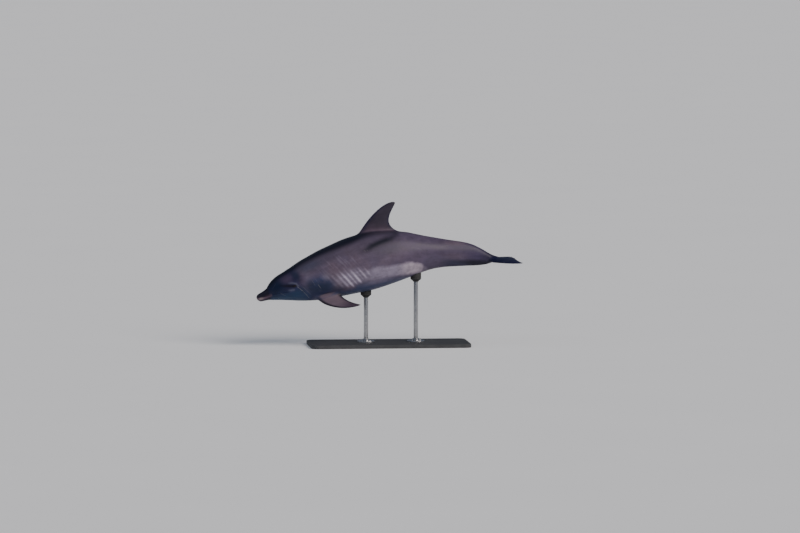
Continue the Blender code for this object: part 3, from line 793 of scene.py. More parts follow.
STRIPE_PATH = ((0.0860, 0.0165), (0.1000, 0.0140), (0.1230, 0.0064), (0.1480, -0.0010))
BROW_HIGHLIGHT_PATH = ((0.1290, 0.0158), (0.1441, 0.0121), (0.1569, 0.0058), (0.1610, -0.0040))
UNDER_EYE_PATH = ((0.1220, -0.0115), (0.1300, -0.0130), (0.1410, -0.0142))
RIB_GLOW = (0.372, -0.036), (0.062, 0.034), RIB_SLANT  # middle, half size and lean
SHOULDER_SHADE = (0.246, -0.030), (0.052, 0.046), 0.20

place = place_of(all_points)
along, aside, height = place[:, 0], np.abs(place[:, 1]), place[:, 2]


def stroke(path, width):
    """1 on a brush stroke along a path, and falling away over width, in metres."""
    return bell(near_path(along, height, path), width)


def leaning_oval(oval, inner, outer):
    """1 inside an oval that leans forward as it rises, down to 0 between two shares of its size."""
    middle, half, lean = oval
    rise = height - middle[1]
    return 1 - ease(inner, outer, np.hypot((along - middle[0] + lean * rise) / half[0], rise / half[1]))


on_belly, on_stock = ease(0.23, 0.30, along), ease(0.64, 0.70, along)
in_patch = np.minimum(PATCH_TOP(along) - height, height - BELLY_EDGE(along))
marks = {
    "cape": height - CAPE_EDGE(along) - 0.03 * ease(0.56, 0.64, along),
    "patch": np.minimum(in_patch, (along - PATCH_FRONT) * 0.35),
    "belly": (BELLY_EDGE(along) - height) * on_belly - 0.02 * (1 - on_belly),
    "stock": (STOCK_EDGE(along) - height) * on_stock - 0.01 * (1 - on_stock),
    "rib_glow": leaning_oval(RIB_GLOW, 0.35, 1.35),
    # Painted shade under the throat, darker and bluer than the animal's own pale throat.
    "throat_shade": (1 - ease(-0.052, -0.014, height)) * between((0.120, 0.180), (0.255, 0.305), along),
    # Painted shade over the shoulder, before the flipper.
    "shoulder_shade": leaning_oval(SHOULDER_SHADE, 0.42, 1.25),
    # Painted shade of a furrow running down and forward from the dorsal fin's rear.
    "fin_furrow_shade": stroke(FURROW_SHADE_PATH, 0.025) * ease(0.400, 0.48, along) * (1 - 0.5 * ease(0.52, 0.58, along)),
    "lips": stroke(LIPS_PATH, 0.0105) * (1 - ease(0.054, 0.060, along)),
    "stripe": stroke(STRIPE_PATH, 0.0095 + 0.004 * ease(0.09, 0.14, along)) * ease(0.078, 0.128, along),
    # A painted highlight along the brow over the eye.
    "brow_highlight": stroke(BROW_HIGHLIGHT_PATH, 0.0075) * ease(0.120, 0.142, along),
    "under_eye": stroke(UNDER_EYE_PATH, 0.0095) * ease(0.112, 0.130, along),
}
off_blades = blade_shares[:, :3].max(1) <= 0.9
numbers = {name: np.where(off_blades, values, 0) for name, values in marks.items()}
numbers["chord"] = blade_shares[:, 3]
vectors = {"side_view": np.stack([along, aside, height], -1) * BODY_LENGTH, "fins": blade_shares[:, :3]}


def finish_mesh(shape, name):
    """Makes a smooth mesh of a shape, with its faces outwards."""
    bmesh.ops.recalc_face_normals(shape, faces=shape.faces)
    mesh = bpy.data.meshes.new(name)
    shape.to_mesh(mesh)
    shape.free()
    mesh.shade_smooth()
    return mesh


def add_object(name, data):
    made = bpy.data.objects.new(name, data)
    bpy.context.collection.objects.link(made)
    return made


def keep_field(mesh, name, kind, values):
    """Stores a number or a vector for each point of a mesh."""
    made = mesh.attributes.new(name, kind, "POINT")
    made.data.foreach_set("value" if kind == "FLOAT" else "vector", values.ravel())


half_made = bpy.data.meshes.new("hide_plain")
half_made.from_pydata([tuple(point) for point in all_points], [], all_faces)
own_map = half_made.uv_layers.new(name="OFBake")
own_map.data.foreach_set("uv", np.array([spot for face in all_maps for spot in face]).ravel())
for name, values in numbers.items():
    keep_field(half_made, name, "FLOAT", values)
for name, values in vectors.items():
    keep_field(half_made, name, "FLOAT_VECTOR", values)
shape = bmesh.new()
shape.from_mesh(half_made)
hide_mesh = finish_mesh(shape, "hide")
bpy.data.meshes.remove(half_made)
hide = add_object("hide", hide_mesh)

FLESH_NODES = (
    "upper_jaw", "lower_jaw", "melon", "head", "neck", "chest", "trunk", "loin", "tail_stock", "tail_root",
    "dorsal_fin", "flipper_left", "flipper_right", "fluke_left", "fluke_right",
)
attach(hide, "root")
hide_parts(*FLESH_NODES)


# --- Hide paint ---
# Airbrushed layers under a satin varnish: a mauve grey flank, a navy cape darkened further as painted shade
# of the back, a throat and belly painted dark blue as painted shade, ribs with painted highlights on their
# crests and painted shade between them, a pale rear flank, mauve brown flippers, and the fine pale scars and
# creases of a real hide. More painted shade darkens the head, the flipper's root, the fold between head and
# neck, a furrow below the dorsal fin and the tail stock's underside; painted highlights light the nape, the
# brow and the lip's tip.
class Value:
    """A node's output that adds, subtracts, multiplies and divides as a number does."""

    def __init__(self, socket):
        self.socket, self.tree = socket, socket.id_data

    def __add__(self, other):
        return calc("ADD", self, other)

    def __sub__(self, other):
        return calc("SUBTRACT", self, other)

    def __rsub__(self, other):
        return calc("SUBTRACT", other, self)

    def __mul__(self, other):
        return calc("MULTIPLY", self, other)

    def __truediv__(self, other):
        return calc("DIVIDE", self, other)


def feed(sockets, values):
    """Links values to sockets, or sets plain numbers, colours and materials on them."""
    for key, value in values.items():
        if isinstance(value, Value):
            value.tree.links.new(value.socket, sockets[key])
        else:
            sockets[key].default_value = value


def node(tree, kind, inputs, output=0, **settings):
    """Adds a node, feeds its inputs and gives one of its outputs."""
    made = tree.nodes.new(kind)
    for name, value in settings.items():
        setattr(made, name, value)
    feed(made.inputs, inputs)
    return Value(made.outputs[output])


def calc(operation, *values, **settings):
    """A sum on numbers, of which at least one varies over the surface."""
    tree = next(value.tree for value in values if isinstance(value, Value))
    return node(tree, "ShaderNodeMath", dict(enumerate(values)), operation=operation, **settings)


def vector_calc(operation, first, second):
    """A sum on two vectors, which gives a vector or a number."""
    output = "Value" if operation in ("DOT_PRODUCT", "LENGTH", "DISTANCE") else "Vector"
    return node(first.tree, "ShaderNodeVectorMath", {0: first, 1: second}, output, operation=operation)


def scaled(vector, scale):
    return node(vector.tree, "ShaderNodeVectorMath", {0: vector, "Scale": scale}, operation="SCALE")


def split(vector):
    """The three numbers of a vector."""
    made = node(vector.tree, "ShaderNodeSeparateXYZ", {0: vector})
    return [Value(socket) for socket in made.socket.node.outputs]


def joined(first, second):
    """A vector of two numbers and a nought."""
    return node(first.tree, "ShaderNodeCombineXYZ", {"X": first, "Y": second})


def ramp(value, low, high, start=0.0, end=1.0):
    """A smooth step from start to end as the value goes from low to high."""
    if isinstance(low, float) and low > high:
        low, high, start, end = high, low, end, start
    inputs = {"Value": value, "From Min": low, "From Max": high, "To Min": start, "To Max": end}
    return node(value.tree, "ShaderNodeMapRange", inputs, "Result", interpolation_type="SMOOTHSTEP")


def noise(where, scale, detail=3.0, roughness=0.55, output=0):
    inputs = {"Vector": where, "Scale": scale, "Detail": detail, "Roughness": roughness}
    return node(where.tree, "ShaderNodeTexNoise", inputs, output)


def mixed(share, under, over):
    """One colour laid over another, as much as share says."""
    under, over = ((*colour, 1.0) if isinstance(colour, tuple) else colour for colour in (under, over))
    inputs = {0: share, 6: under, 7: over}
    return node(share.tree, "ShaderNodeMix", inputs, 2, data_type="RGBA", clamp_factor=True)


def bumpy(height, strength, distance):
    inputs = {"Height": height, "Strength": strength, "Distance": distance}
    return node(height.tree, "ShaderNodeBump", inputs)


def new_material(name):
    """A new material, its tree, and the inputs of its shader."""
    made = bpy.data.materials.new(name)
    made.use_nodes = True
    return made, made.node_tree, made.node_tree.nodes["Principled BSDF"].inputs


def own_place(tree):
    """Where a point of the piece lies, in metres."""
    return node(tree, "ShaderNodeTexCoord", {}, "Object")


def field(tree, name, output="Fac"):
    """A field that was stored on the mesh."""
    return node(tree, "ShaderNodeAttribute", {}, output, attribute_name=name)


def new_group(name, inputs, outputs, kind="Shader", made_of="Float"):
    """A node group with named inputs: its inputs' values, and the sockets for its results."""
    group = bpy.data.node_groups.new(name, kind + "NodeTree")
    for word, socket_kind, value in inputs:
        socket = group.interface.new_socket(word, in_out="INPUT", socket_type="NodeSocket" + socket_kind)
        if value is not None:
            socket.default_value = value
    for word in outputs:
        group.interface.new_socket(word, in_out="OUTPUT", socket_type="NodeSocket" + made_of)
    outer = group.nodes.new("NodeGroupInput").outputs
    given = {socket.name: Value(socket) for socket in outer if socket.name}
    return group, given, group.nodes.new("NodeGroupOutput").inputs


def use(tree, group, inputs):
    """Places a node group, and gives its outputs by name."""
    made = tree.nodes.new("ShaderNodeGroup")
    made.node_tree = group
    feed(made.inputs, inputs)
    return {socket.name: Value(socket) for socket in made.outputs}


line_mark, given, result = new_group(
    "line_mark",
    (("Place", "Vector", None), ("From", "Vector", None), ("To", "Vector", None), ("Width", "Float", 0.002)),
    ("Share",),
)
reach = vector_calc("SUBTRACT", given["To"], given["From"])
start = vector_calc("SUBTRACT", given["Place"], given["From"])
length = vector_calc("DOT_PRODUCT", reach, reach)
share = calc("DIVIDE", vector_calc("DOT_PRODUCT", start, reach), length, use_clamp=True)
away = vector_calc("DISTANCE", start, scaled(reach, share))
taper = 1.0 - calc("POWER", calc("ABSOLUTE", share * 2.0 - 1.0), 4.0)
feed(result, {"Share": ramp(away / given["Width"], 1.0, 0.0) * taper})

spot_mark, given, result = new_group(
    "spot_mark",
    (
        ("Place", "Vector", None),
        ("Middle", "Vector", None),
        ("Spread", "Vector", None),
        ("Softness", "Float", 0.5),
    ),
    ("Share",),
)
away = vector_calc("DIVIDE", vector_calc("SUBTRACT", given["Place"], given["Middle"]), given["Spread"])
away = vector_calc("LENGTH", away, (0, 0, 0))
feed(result, {"Share": ramp(away, 1.0 - given["Softness"], given["Softness"] + 1.0, 1.0, 0.0)})

rib_mark, given, result = new_group(
    "rib_mark",
    (
        ("Away", "Float", None),
        ("Height", "Float", None),
        ("Place", "Float", 0.3),
        ("Strength", "Float", 1.0),
        ("Breadth", "Float", 0.008),
        ("Low", "Float", -0.06),
        ("High", "Float", 0.0),
    ),
    ("Crest", "Gap"),
)
away = given["Away"] - given["Place"]
shown = ramp(given["Height"], given["Low"] - 0.012, given["Low"] + 0.010)
fading = ramp(given["Height"], given["High"] - 0.022, given["High"] + 0.018)
shown = shown * (1.0 - fading * 0.90) * ramp(given["Height"], 0.066, 0.035) * given["Strength"]
for word, breadth in (("Crest", given["Breadth"]), ("Gap", RIB_COVER)):
    across = away / breadth
    feed(result, {word: calc("EXPONENT", across * across * -1.0) * shown})

FLANK, FLANK_WARM, REAR_BACK = (0.096, 0.076, 0.123), (0.117, 0.085, 0.120), (0.077, 0.057, 0.102)
# The shoulder colour is painted shade, the nape colour a painted highlight, and the blaze colour also paints
# the dark rib streaks as painted shade.
BLAZE_AND_STREAK_SHADE, SHOULDER_SHADE_COLOUR, NAPE_LIGHT = (0.065, 0.052, 0.086), (0.031, 0.038, 0.094), (0.108, 0.093, 0.142)
# The head colour is painted shade of the head turned away from the light.
SHADED_HEAD, FOREHEAD, CHEEK = (0.009, 0.011, 0.050), (0.069, 0.046, 0.084), (0.014, 0.040, 0.096)
# The head front colour is painted shade with a painted reflection of dark blue sky, on the melon's front.
CHEEK_PALE, HEAD_FRONT_SHADE, NAPE_TOP = (0.035, 0.058, 0.125), (0.002, 0.009, 0.034), (0.040, 0.045, 0.080)
# The pale flank colour also paints the light rib streaks as a painted highlight.
PALE_FLANK_AND_STREAK_LIGHT, PALE_REAR = (0.243, 0.209, 0.287), (0.435, 0.360, 0.429)
# The rib crest colour is a painted highlight, and the rib gap colour painted shade.
RIB_CREST_HIGHLIGHT, RIB_GAP_SHADE = (0.565, 0.503, 0.640), (0.099, 0.088, 0.139)
# The belly colour is painted shade on the pale underside, and the very dark blue after it is painted shade at
# the flipper's root, behind the flipper and between head and neck.
SHADED_BELLY, BELLY_REAR, DEEP_SHADE = (0.055, 0.068, 0.135), (0.125, 0.112, 0.180), (0.012, 0.018, 0.046)
STOCK, STOCK_BACK, TAIL = (0.082, 0.064, 0.108), (0.056, 0.041, 0.080), (0.046, 0.036, 0.080)
# The stock's and the tail's low colours are painted shade on their undersides, and the cape colour is the
# animal's dark cape painted darker as painted shade of the back.
STOCK_UNDER_SHADE, TAIL_UNDER_SHADE, CAPE_AND_BACK_SHADE = (0.026, 0.029, 0.062), (0.011, 0.010, 0.021), (0.005, 0.007, 0.017)
# The lip tip colour is a painted highlight.
BEAK, LIPS, LIP_TIP_HIGHLIGHT = (0.011, 0.010, 0.022), (0.110, 0.068, 0.104), (0.300, 0.240, 0.250)
# The eye stripe colour also paints the ear's pinhole as painted shade, and the pale eye colour paints a
# highlight on the brow as well as the pale mark under the eye.
EYE_STRIPE_AND_EAR_SHADE, EYE_PALE_AND_BROW_HIGHLIGHT, SCAR = (0.003, 0.002, 0.005), (0.110, 0.112, 0.165), (0.300, 0.290, 0.270)
FLIPPER, FLIPPER_TIP, FLIPPER_EDGE = (0.149, 0.111, 0.141), (0.033, 0.019, 0.041), (0.005, 0.005, 0.014)
DORSAL, DORSAL_FOOT = (0.034, 0.027, 0.044), (0.095, 0.061, 0.094)
FLUKE, FLUKE_WORN = (0.009, 0.010, 0.043), (0.034, 0.031, 0.052)
DRIFT = 0.004  # how far the airbrush strays, in metres

hide_paint, skin, finish = new_material("hide_paint")
hide_place = own_place(skin)
side_place = field(skin, "side_view", "Vector")
wobble = vector_calc("SUBTRACT", noise(hide_place, 55.0, 2.0, 0.5, "Color"), (0.5, 0.5, 0.5))
drawn_place = vector_calc("ADD", side_place, scaled(wobble, DRIFT))
flat_drawn = vector_calc("MULTIPLY", drawn_place, (1.0, 0.0, 1.0))
along_metres, aside_metres, height_metres = split(side_place)
on_dorsal, on_flipper, on_fluke = split(field(skin, "fins", "Vector"))
broad = noise(hide_place, 4.5, 3.0)
mottle = noise(hide_place, 22.0, 4.0, 0.6)
speckle = noise(hide_place, 190.0, 3.0, 0.6)
flow = noise(vector_calc("MULTIPLY", side_place, (5.0, 30.0, 30.0)), 1.0, 4.0, 0.6)
ragged = (mottle - 0.5) * 0.010


def along_share(start, end):
    """0 ahead of start and 1 behind end, both shares of the body length."""
    return ramp(along_metres, start * BODY_LENGTH, end * BODY_LENGTH)


def field_share(name, low, high, rough=1.0):
    """How far a mark covers the skin, with a ragged edge."""
    return ramp(field(skin, name) + ragged * rough, low, high)


def on_side(place, depth=0.0):
    """A place seen from the side, or with a depth of 1 a size there, in metres."""
    return place[0] * BODY_LENGTH, depth, place[1] * BODY_LENGTH


def spot(middle, half, softness=0.8):
    """An oval blot with a soft edge."""
    inputs = {"Middle": on_side(middle), "Spread": on_side(half, 1.0), "Softness": softness}
    return use(skin, spot_mark, {"Place": flat_drawn, **inputs})["Share"]


rib_place = split(drawn_place)
rib_height = rib_place[2] / BODY_LENGTH
rib_away = rib_place[0] / BODY_LENGTH + (rib_height - RIB_LEVEL) * RIB_SLANT
crests = gaps = 0.0
for rib in RIBS:
    inputs = dict(zip(("Place", "Strength", "Breadth", "Low", "High"), rib))
    made = use(skin, rib_mark, {"Away": rib_away, "Height": rib_height, **inputs})
    crests, gaps = calc("MAXIMUM", made["Crest"], crests), calc("MAXIMUM", made["Gap"], gaps)
rib_rise = crests - gaps * RIB_GAP_DEPTH
# Faint streaks at the ribs' slant over the upper flank: painted light and painted shade of the ribs under the
# skin.
rib_shadow_streaks = noise(joined(rib_away * 95.0, rib_height * 11.0), 1.0, 2.0)
rib_shadow_area = spot((0.3450, 0.0080), (0.0850, 0.0460), 0.7)

on_head = 1.0 - along_share(0.150, 0.212)
blaze = ramp(field(skin, "cape"), -0.055, -0.012) * along_share(0.30, 0.42) * (1.0 - along_share(0.50, 0.60))
soft_mottle = ramp(mottle, 0.2, 0.7)
patch = field_share("patch", -0.002, 0.016) * ramp(soft_mottle, 0.0, 0.8, 0.72, 1.0)
belly_share = field_share("belly", -0.009, 0.014, 1.6)
colour = mixed(ramp(broad, 0.35, 0.7), FLANK, FLANK_WARM)
for share, over in (
    (along_share(0.50, 0.62) * 0.70, REAR_BACK),
    (blaze * 0.70, BLAZE_AND_STREAK_SHADE),
    (spot((0.5240, 0.0410), (0.0600, 0.0200)), BLAZE_AND_STREAK_SHADE),
    (spot((0.3050, 0.0620), (0.0500, 0.0170)) * 0.75, BLAZE_AND_STREAK_SHADE),
    # A painted highlight: the nape behind the head lit pale where the light falls on the neck.
    (spot((0.2070, 0.0180), (0.0110, 0.0300)) * 0.55, NAPE_LIGHT),
    # Painted shade under the throat and over the shoulder.
    (field(skin, "throat_shade") * 0.85, SHOULDER_SHADE_COLOUR),
    (field(skin, "shoulder_shade") * ramp(soft_mottle, 0.0, 0.8, 0.60, 1.0), SHOULDER_SHADE_COLOUR),
    # Painted shade: the head darkened to near black navy as it lies turned away from the light, darker still
    # on the melon's front, with a painted reflection of dark blue sky there.
    (on_head * 0.90, SHADED_HEAD),
    (spot((0.0810, 0.0130), (0.0330, 0.0260), 0.7) * 0.85, HEAD_FRONT_SHADE),
    (spot((0.1290, 0.0330), (0.0220, 0.0170)) * 0.60, FOREHEAD),
    # Painted shade between the head and the neck.
    (spot((0.1660, 0.0340), (0.0120, 0.0160)) * 0.80, DEEP_SHADE),
    (spot((0.2260, 0.0540), (0.0440, 0.0170)) * 0.70, NAPE_TOP),
    (on_head * ramp(height_metres, 0.000, -0.075) * 0.85, CHEEK),
    (field(skin, "rib_glow") * ramp(flow, 0.25, 0.75, 0.42, 0.96), PALE_FLANK_AND_STREAK_LIGHT),
    (patch * 0.92, PALE_FLANK_AND_STREAK_LIGHT),
    (patch * along_share(0.540, 0.620) * 0.85, PALE_REAR),
    # Painted light and painted shade in streaks along the ribs' slant.
    (rib_shadow_area * ramp(rib_shadow_streaks, 0.50, 0.74) * 0.30, PALE_FLANK_AND_STREAK_LIGHT),
    (rib_shadow_area * ramp(rib_shadow_streaks, 0.50, 0.30) * 0.45, BLAZE_AND_STREAK_SHADE),
    # Painted shade in the gaps between the ribs, and a painted highlight on each rib's crest.
    (ramp(rib_rise, 0.02, -0.42) * 0.70, RIB_GAP_SHADE),
    (ramp(rib_rise, 0.0, 0.66) * ramp(mottle, 0.30, 0.66, 0.62, 1.0), RIB_CREST_HIGHLIGHT),
    # Painted shade: the underside, pale on the animal, painted dark blue below the pale patch, and darker
    # still at the very bottom.
    (belly_share * 0.85, SHADED_BELLY),
    (belly_share * along_share(0.395, 0.475) * 0.85, BELLY_REAR),
    (ramp(height_metres, -0.172, -0.194) * 0.80, SHADED_BELLY),
    # Painted shade round the flipper's root and behind it, and in the fold between the head and the neck.
    (spot((0.2480, -0.0400), (0.0420, 0.0230), 0.7) * ramp(soft_mottle, 0.0, 0.7, 0.45, 0.90), DEEP_SHADE),
    (spot((0.3010, -0.0640), (0.0300, 0.0130)) * 0.60, DEEP_SHADE),
    (spot((0.2080, -0.0220), (0.0170, 0.0220)) * 0.75, DEEP_SHADE),
    (spot((0.1760, -0.0230), (0.0100, 0.0140)) * 0.45, DEEP_SHADE),
    (spot((0.1680, -0.0570), (0.0260, 0.0150)) * 0.50, CHEEK_PALE),
    (spot((0.2740, -0.0010), (0.0130, 0.0130)) * 0.30, PALE_FLANK_AND_STREAK_LIGHT),
    (spot((0.4700, -0.0720), (0.0600, 0.0130)) * 0.30, PALE_FLANK_AND_STREAK_LIGHT),
    (along_share(0.66, 0.80) * 0.80, STOCK_BACK),
    (field_share("stock", -0.008, 0.014, 0.6) * 0.80, STOCK),
    (spot((0.7900, 0.0430), (0.0420, 0.0090)) * 0.75, FLANK_WARM),
    (spot((0.7900, -0.0060), (0.0420, 0.0130)) * 0.45, FLANK_WARM),
    (along_share(0.80, 0.90) * 0.92, TAIL),
    # Painted shade on the lower half of the tail stock and under the tail.
    (along_share(0.720, 0.790) * ramp(height_metres, -0.032, -0.066) * 0.75, STOCK_UNDER_SHADE),
    (spot((0.8900, -0.0280), (0.0620, 0.0130), 0.6) * 0.88, TAIL_UNDER_SHADE),
    # Painted shade of the furrow below the dorsal fin.
    (field(skin, "fin_furrow_shade") * 0.95, CAPE_AND_BACK_SHADE),
    # The animal's own dark cape, painted darker and bluer as painted shade of the back, which faces up to a
    # dark sky.
    (field_share("cape", -0.013, 0.010, 0.6) * ramp(along_metres, 0.90, 1.05, 0.94, 0.66), CAPE_AND_BACK_SHADE),
    (along_share(0.875, 0.945) * 0.60, CAPE_AND_BACK_SHADE),
    (along_share(0.925, 0.980) * 0.9, FLUKE),
    (1.0 - along_share(0.044, 0.054), BEAK),
    (field(skin, "lips") * ramp(mottle, 0.2, 0.6, 0.7, 1.0), LIPS),
    # A painted highlight on the lower lip's tip.
    (spot((0.013, -0.0125), (0.010, 0.0045), 0.7) * 0.75, LIP_TIP_HIGHLIGHT),
    (field(skin, "stripe") * on_head * 0.80, EYE_STRIPE_AND_EAR_SHADE),
    (spot((0.1500, -0.0010), (0.0085, 0.0040), 0.7) * 0.85, EYE_STRIPE_AND_EAR_SHADE),
    # A painted highlight on the brow; the pale mark under the eye is its own colour.
    (field(skin, "brow_highlight") * 0.62, EYE_PALE_AND_BROW_HIGHLIGHT),
    (field(skin, "under_eye") * 0.50, EYE_PALE_AND_BROW_HIGHLIGHT),
):
    colour = mixed(share, colour, over)

SCARS = (  # strength, width in metres, from, to
    (0.84, 0.0020, (0.1570, -0.0060), (0.1650, -0.0171)),
    (0.88, 0.0022, (0.1640, -0.0155), (0.1740, -0.0306)),
    (0.82, 0.0020, (0.1730, -0.0290), (0.1905, -0.0670)),
    (0.34, 0.0020, (0.1763, -0.0119), (0.1867, -0.0291)),
    (0.30, 0.0018, (0.1860, -0.0280), (0.2010, -0.0560)),
    (0.22, 0.0022, (0.2165, 0.0063), (0.2245, -0.0250)),
    (0.20, 0.0018, (0.2300, 0.0060), (0.2390, -0.0180)),
    (0.50, 0.0024, (0.2350, -0.0200), (0.2420, -0.0415)),
    (0.34, 0.0020, (0.0870, -0.0100), (0.1060, -0.0280)),
    (0.50, 0.0020, (0.4400, 0.0530), (0.4460, 0.0470)),
    (0.40, 0.0018, (0.4500, 0.0520), (0.4540, 0.0480)),
    (0.26, 0.0014, (0.6150, 0.0330), (0.6600, 0.0200)),
    (0.22, 0.0012, (0.6170, 0.0290), (0.6630, 0.0160)),
    (0.26, 0.0014, (0.7300, 0.0260), (0.7660, 0.0330)),
    (0.30, 0.0015, (0.4960, -0.0300), (0.5290, -0.0390)),
    (0.20, 0.0013, (0.0650, 0.0120), (0.0850, 0.0280)),
)
off_flipper = 1.0 - ramp(on_flipper, 0.0, 0.25)
scar_height = 0.0
for strength, width, start, end in SCARS:
    ends = {"From": on_side(start), "To": on_side(end), "Width": width}
    mark = use(skin, line_mark, {"Place": flat_drawn, **ends})["Share"]
    mark = mark * off_flipper * ramp(mottle, 0.25, 0.6, 0.35, 1.0)
    colour = mixed(mark * strength, colour, SCAR)
    scar_height = mark + scar_height
# The ear's pinhole, not modelled, painted as a dark dot of painted shade.
ear_hole_shade = spot((0.1760, -0.0035), (0.0011, 0.0009), 0.6) * off_flipper
colour = mixed(ear_hole_shade, colour, EYE_STRIPE_AND_EAR_SHADE)

chord = field(skin, "chord")
fin_edge = calc("MAXIMUM", ramp(chord, 0.17, 0.05), ramp(chord, 0.80, 0.97))
flipper_colour = mixed(ramp(mottle, 0.3, 0.65) * 0.30, FLIPPER, FLIPPER_TIP)
flipper_colour = mixed(ramp(on_flipper, 0.58, 0.80) * 0.80, flipper_colour, FLIPPER_TIP)
flipper_colour = mixed(fin_edge * 0.85, flipper_colour, FLIPPER_EDGE)
flipper_colour = mixed(ramp(on_flipper, 0.86, 1.0) * 0.90, flipper_colour, FLIPPER_EDGE)
dorsal_colour = mixed(ramp(on_dorsal, 0.40, 0.62), DORSAL_FOOT, DORSAL)
dorsal_colour = mixed(fin_edge * 0.5, dorsal_colour, FLUKE)
flipper_root = spot((0.2560, -0.0735), (0.0300, 0.0085), 0.45) * ramp(aside_metres, 0.085, 0.105) * 0.9
fluke_share = ramp(on_fluke, 0.02, 0.40)
for share, over in (
    (flipper_root, flipper_colour),
    (ramp(on_flipper, 0.15, 0.48), flipper_colour),
    (ramp(on_dorsal, 0.10, 0.60), dorsal_colour),
    (fluke_share, FLUKE),
    (fluke_share * ramp(mottle, 0.42, 0.70) * 0.28, FLUKE_WORN),
):
    colour = mixed(share, colour, over)

tone = (flow + mottle) * 0.62 + 0.38 + (speckle - 0.5) * 0.16
creases = noise(vector_calc("MULTIPLY", side_place, (260.0, 60.0, 60.0)), 1.0, 2.0, 0.5)
fine_height = mottle * 0.0012 + speckle * 0.00016 + creases * 0.00018 - scar_height * 0.0003
feed(finish, {
    "Base Color": scaled(colour, tone),
    "Roughness": ramp(flow * 0.6 + mottle * 0.4, 0.35, 0.65, 0.40, 0.54),
    "IOR": 1.28,
    "Coat Weight": 0.05,
    "Coat Roughness": 0.22,
    "Normal": bumpy(fine_height, 0.5, 1.0),
})
hide_mesh.materials.append(hide_paint)


# --- Eyes ---
# Each eye is a polished ball of painted glass behind the lids: a dark brown iris with a darker rim, a pupil
# drawn out to a lying oval, and a smoky white that barely shows.
EYE_STEPS = {"u_segments": 56, "v_segments": 36}
PUPIL_HALF = (0.0042, 0.0026)
IRIS_RIM, IRIS_RADIUS, RIM_SOFTNESS = 0.0046, 0.0064, 0.0003
IRIS_DARK, IRIS_BROWN, IRIS_EDGE = (0.018, 0.010, 0.007), (0.050, 0.026, 0.016), (0.005, 0.004, 0.004)
SMOKY_WHITE, PUPIL = (0.050, 0.040, 0.038), (0.002, 0.002, 0.003)


def reach_of(first, second):
    """How far out the two numbers put a place."""
    return calc("SQRT", first * first + second * second)


eye_glass, glass, finish = new_material("eye_glass")
back, up, _ = split(field(glass, "gaze", "Vector"))
from_middle = reach_of(back, up)
rays = noise(joined(calc("ARCTAN2", up, back) * 9.0, from_middle * 260.0), 1.0, 3.0, 0.6)
iris = mixed(ramp(rays, 0.3, 0.7), IRIS_DARK, IRIS_BROWN)
iris = mixed(ramp(from_middle, IRIS_RIM, 0.0062), iris, IRIS_EDGE)
ball = mixed(ramp(from_middle, IRIS_RADIUS - RIM_SOFTNESS, IRIS_RADIUS + RIM_SOFTNESS), iris, SMOKY_WHITE)
ball = mixed(ramp(reach_of(back / PUPIL_HALF[0], up / PUPIL_HALF[1]), 1.12, 0.92), ball, PUPIL)
feed(finish, {
    "Base Color": ball,
    "Roughness": ramp(rays, 0.2, 0.8, 0.06, 0.12),
    "IOR": 1.376,
    "Coat Weight": 0.3,
    "Coat Roughness": 0.03,
})

for side, word in ((1, "right"), (-1, "left")):
    shape = bmesh.new()
    bmesh.ops.create_uvsphere(shape, radius=EYE_RADIUS, **EYE_STEPS)
    local = np.array([vertex.co for vertex in shape.verts])
    spots = (eye_centre + local @ eye_axes) * (1, side, 1)
    for vertex, place in zip(shape.verts, spots):
        vertex.co = place
    eye_mesh = finish_mesh(shape, "eyeball_" + word)
    keep_field(eye_mesh, "gaze", "FLOAT_VECTOR", local * np.where(local[:, 2:] > 0, 1, 5))
    eye_mesh.materials.append(eye_glass)
    eyeball = add_object("eyeball_" + word, eye_mesh)
    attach(eyeball, "root")
    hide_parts("eye_" + word)


# --- Stand: base ---
# A slab of dense fibreboard with its corners rounded and its upper edge softened, sprayed matt charcoal grey
# with a fine orange-peel skin, and lightly dusty where hands and cloths don't reach.
BASE_CORNER, BASE_EDGE, BASE_FOOT = 0.06, 0.004, 0.0012
CORNER_STEPS, EDGE_STEPS = 20, 6
DUST_COLOUR = (0.36, 0.34, 0.31)

wear, given, result = new_group(
    "wear",
    (("Place", "Vector", None), ("Grain", "Float", 600.0), ("Dust", "Float", 0.3)),
    ("Dusty", "Scuff", "Height"),
)
facing_up = split(node(wear, "ShaderNodeNewGeometry", {}, "Normal"))[2]
cloud = noise(given["Place"], 9.0, 4.0, 0.6)
feed(result, {
    "Dusty": ramp(facing_up, 0.5, 1.0) * ramp(cloud, 0.35, 0.8) * given["Dust"],
    "Scuff": ramp(noise(given["Place"], 60.0, 5.0, 0.7), 0.60, 0.78),
    "Height": noise(given["Place"], given["Grain"], 2.0, 0.5),
})


def worn_material(name, colour, dark, roughness, metallic, grain, dust, depth, stretch=(1.0, 1.0, 1.0)):
    """A plain finish with fine grain, slight scuffs and dust. Stretch draws the grain out along an axis."""
    made, tree, finish = new_material(name)
    place = own_place(tree)
    drawn = vector_calc("MULTIPLY", place, stretch)
    worn = use(tree, wear, {"Place": drawn, "Grain": grain, "Dust": dust})
    base = mixed(ramp(noise(place, 14.0, 3.0), 0.3, 0.7), colour, dark)
    feed(finish, {
        "Base Color": mixed(worn["Dusty"], base, DUST_COLOUR),
        "Metallic": metallic,
        "Roughness": worn["Scuff"] * 0.14 + roughness + worn["Dusty"] * 0.4,
        "Normal": bumpy(worn["Height"], 0.6, depth),
    })
    return made


CHARCOAL, CHARCOAL_DARK = (0.050, 0.052, 0.056), (0.036, 0.037, 0.041)
board_paint = worn_material("board_paint", CHARCOAL, CHARCOAL_DARK, 0.64, 0.0, 700.0, 0.05, 0.0004)


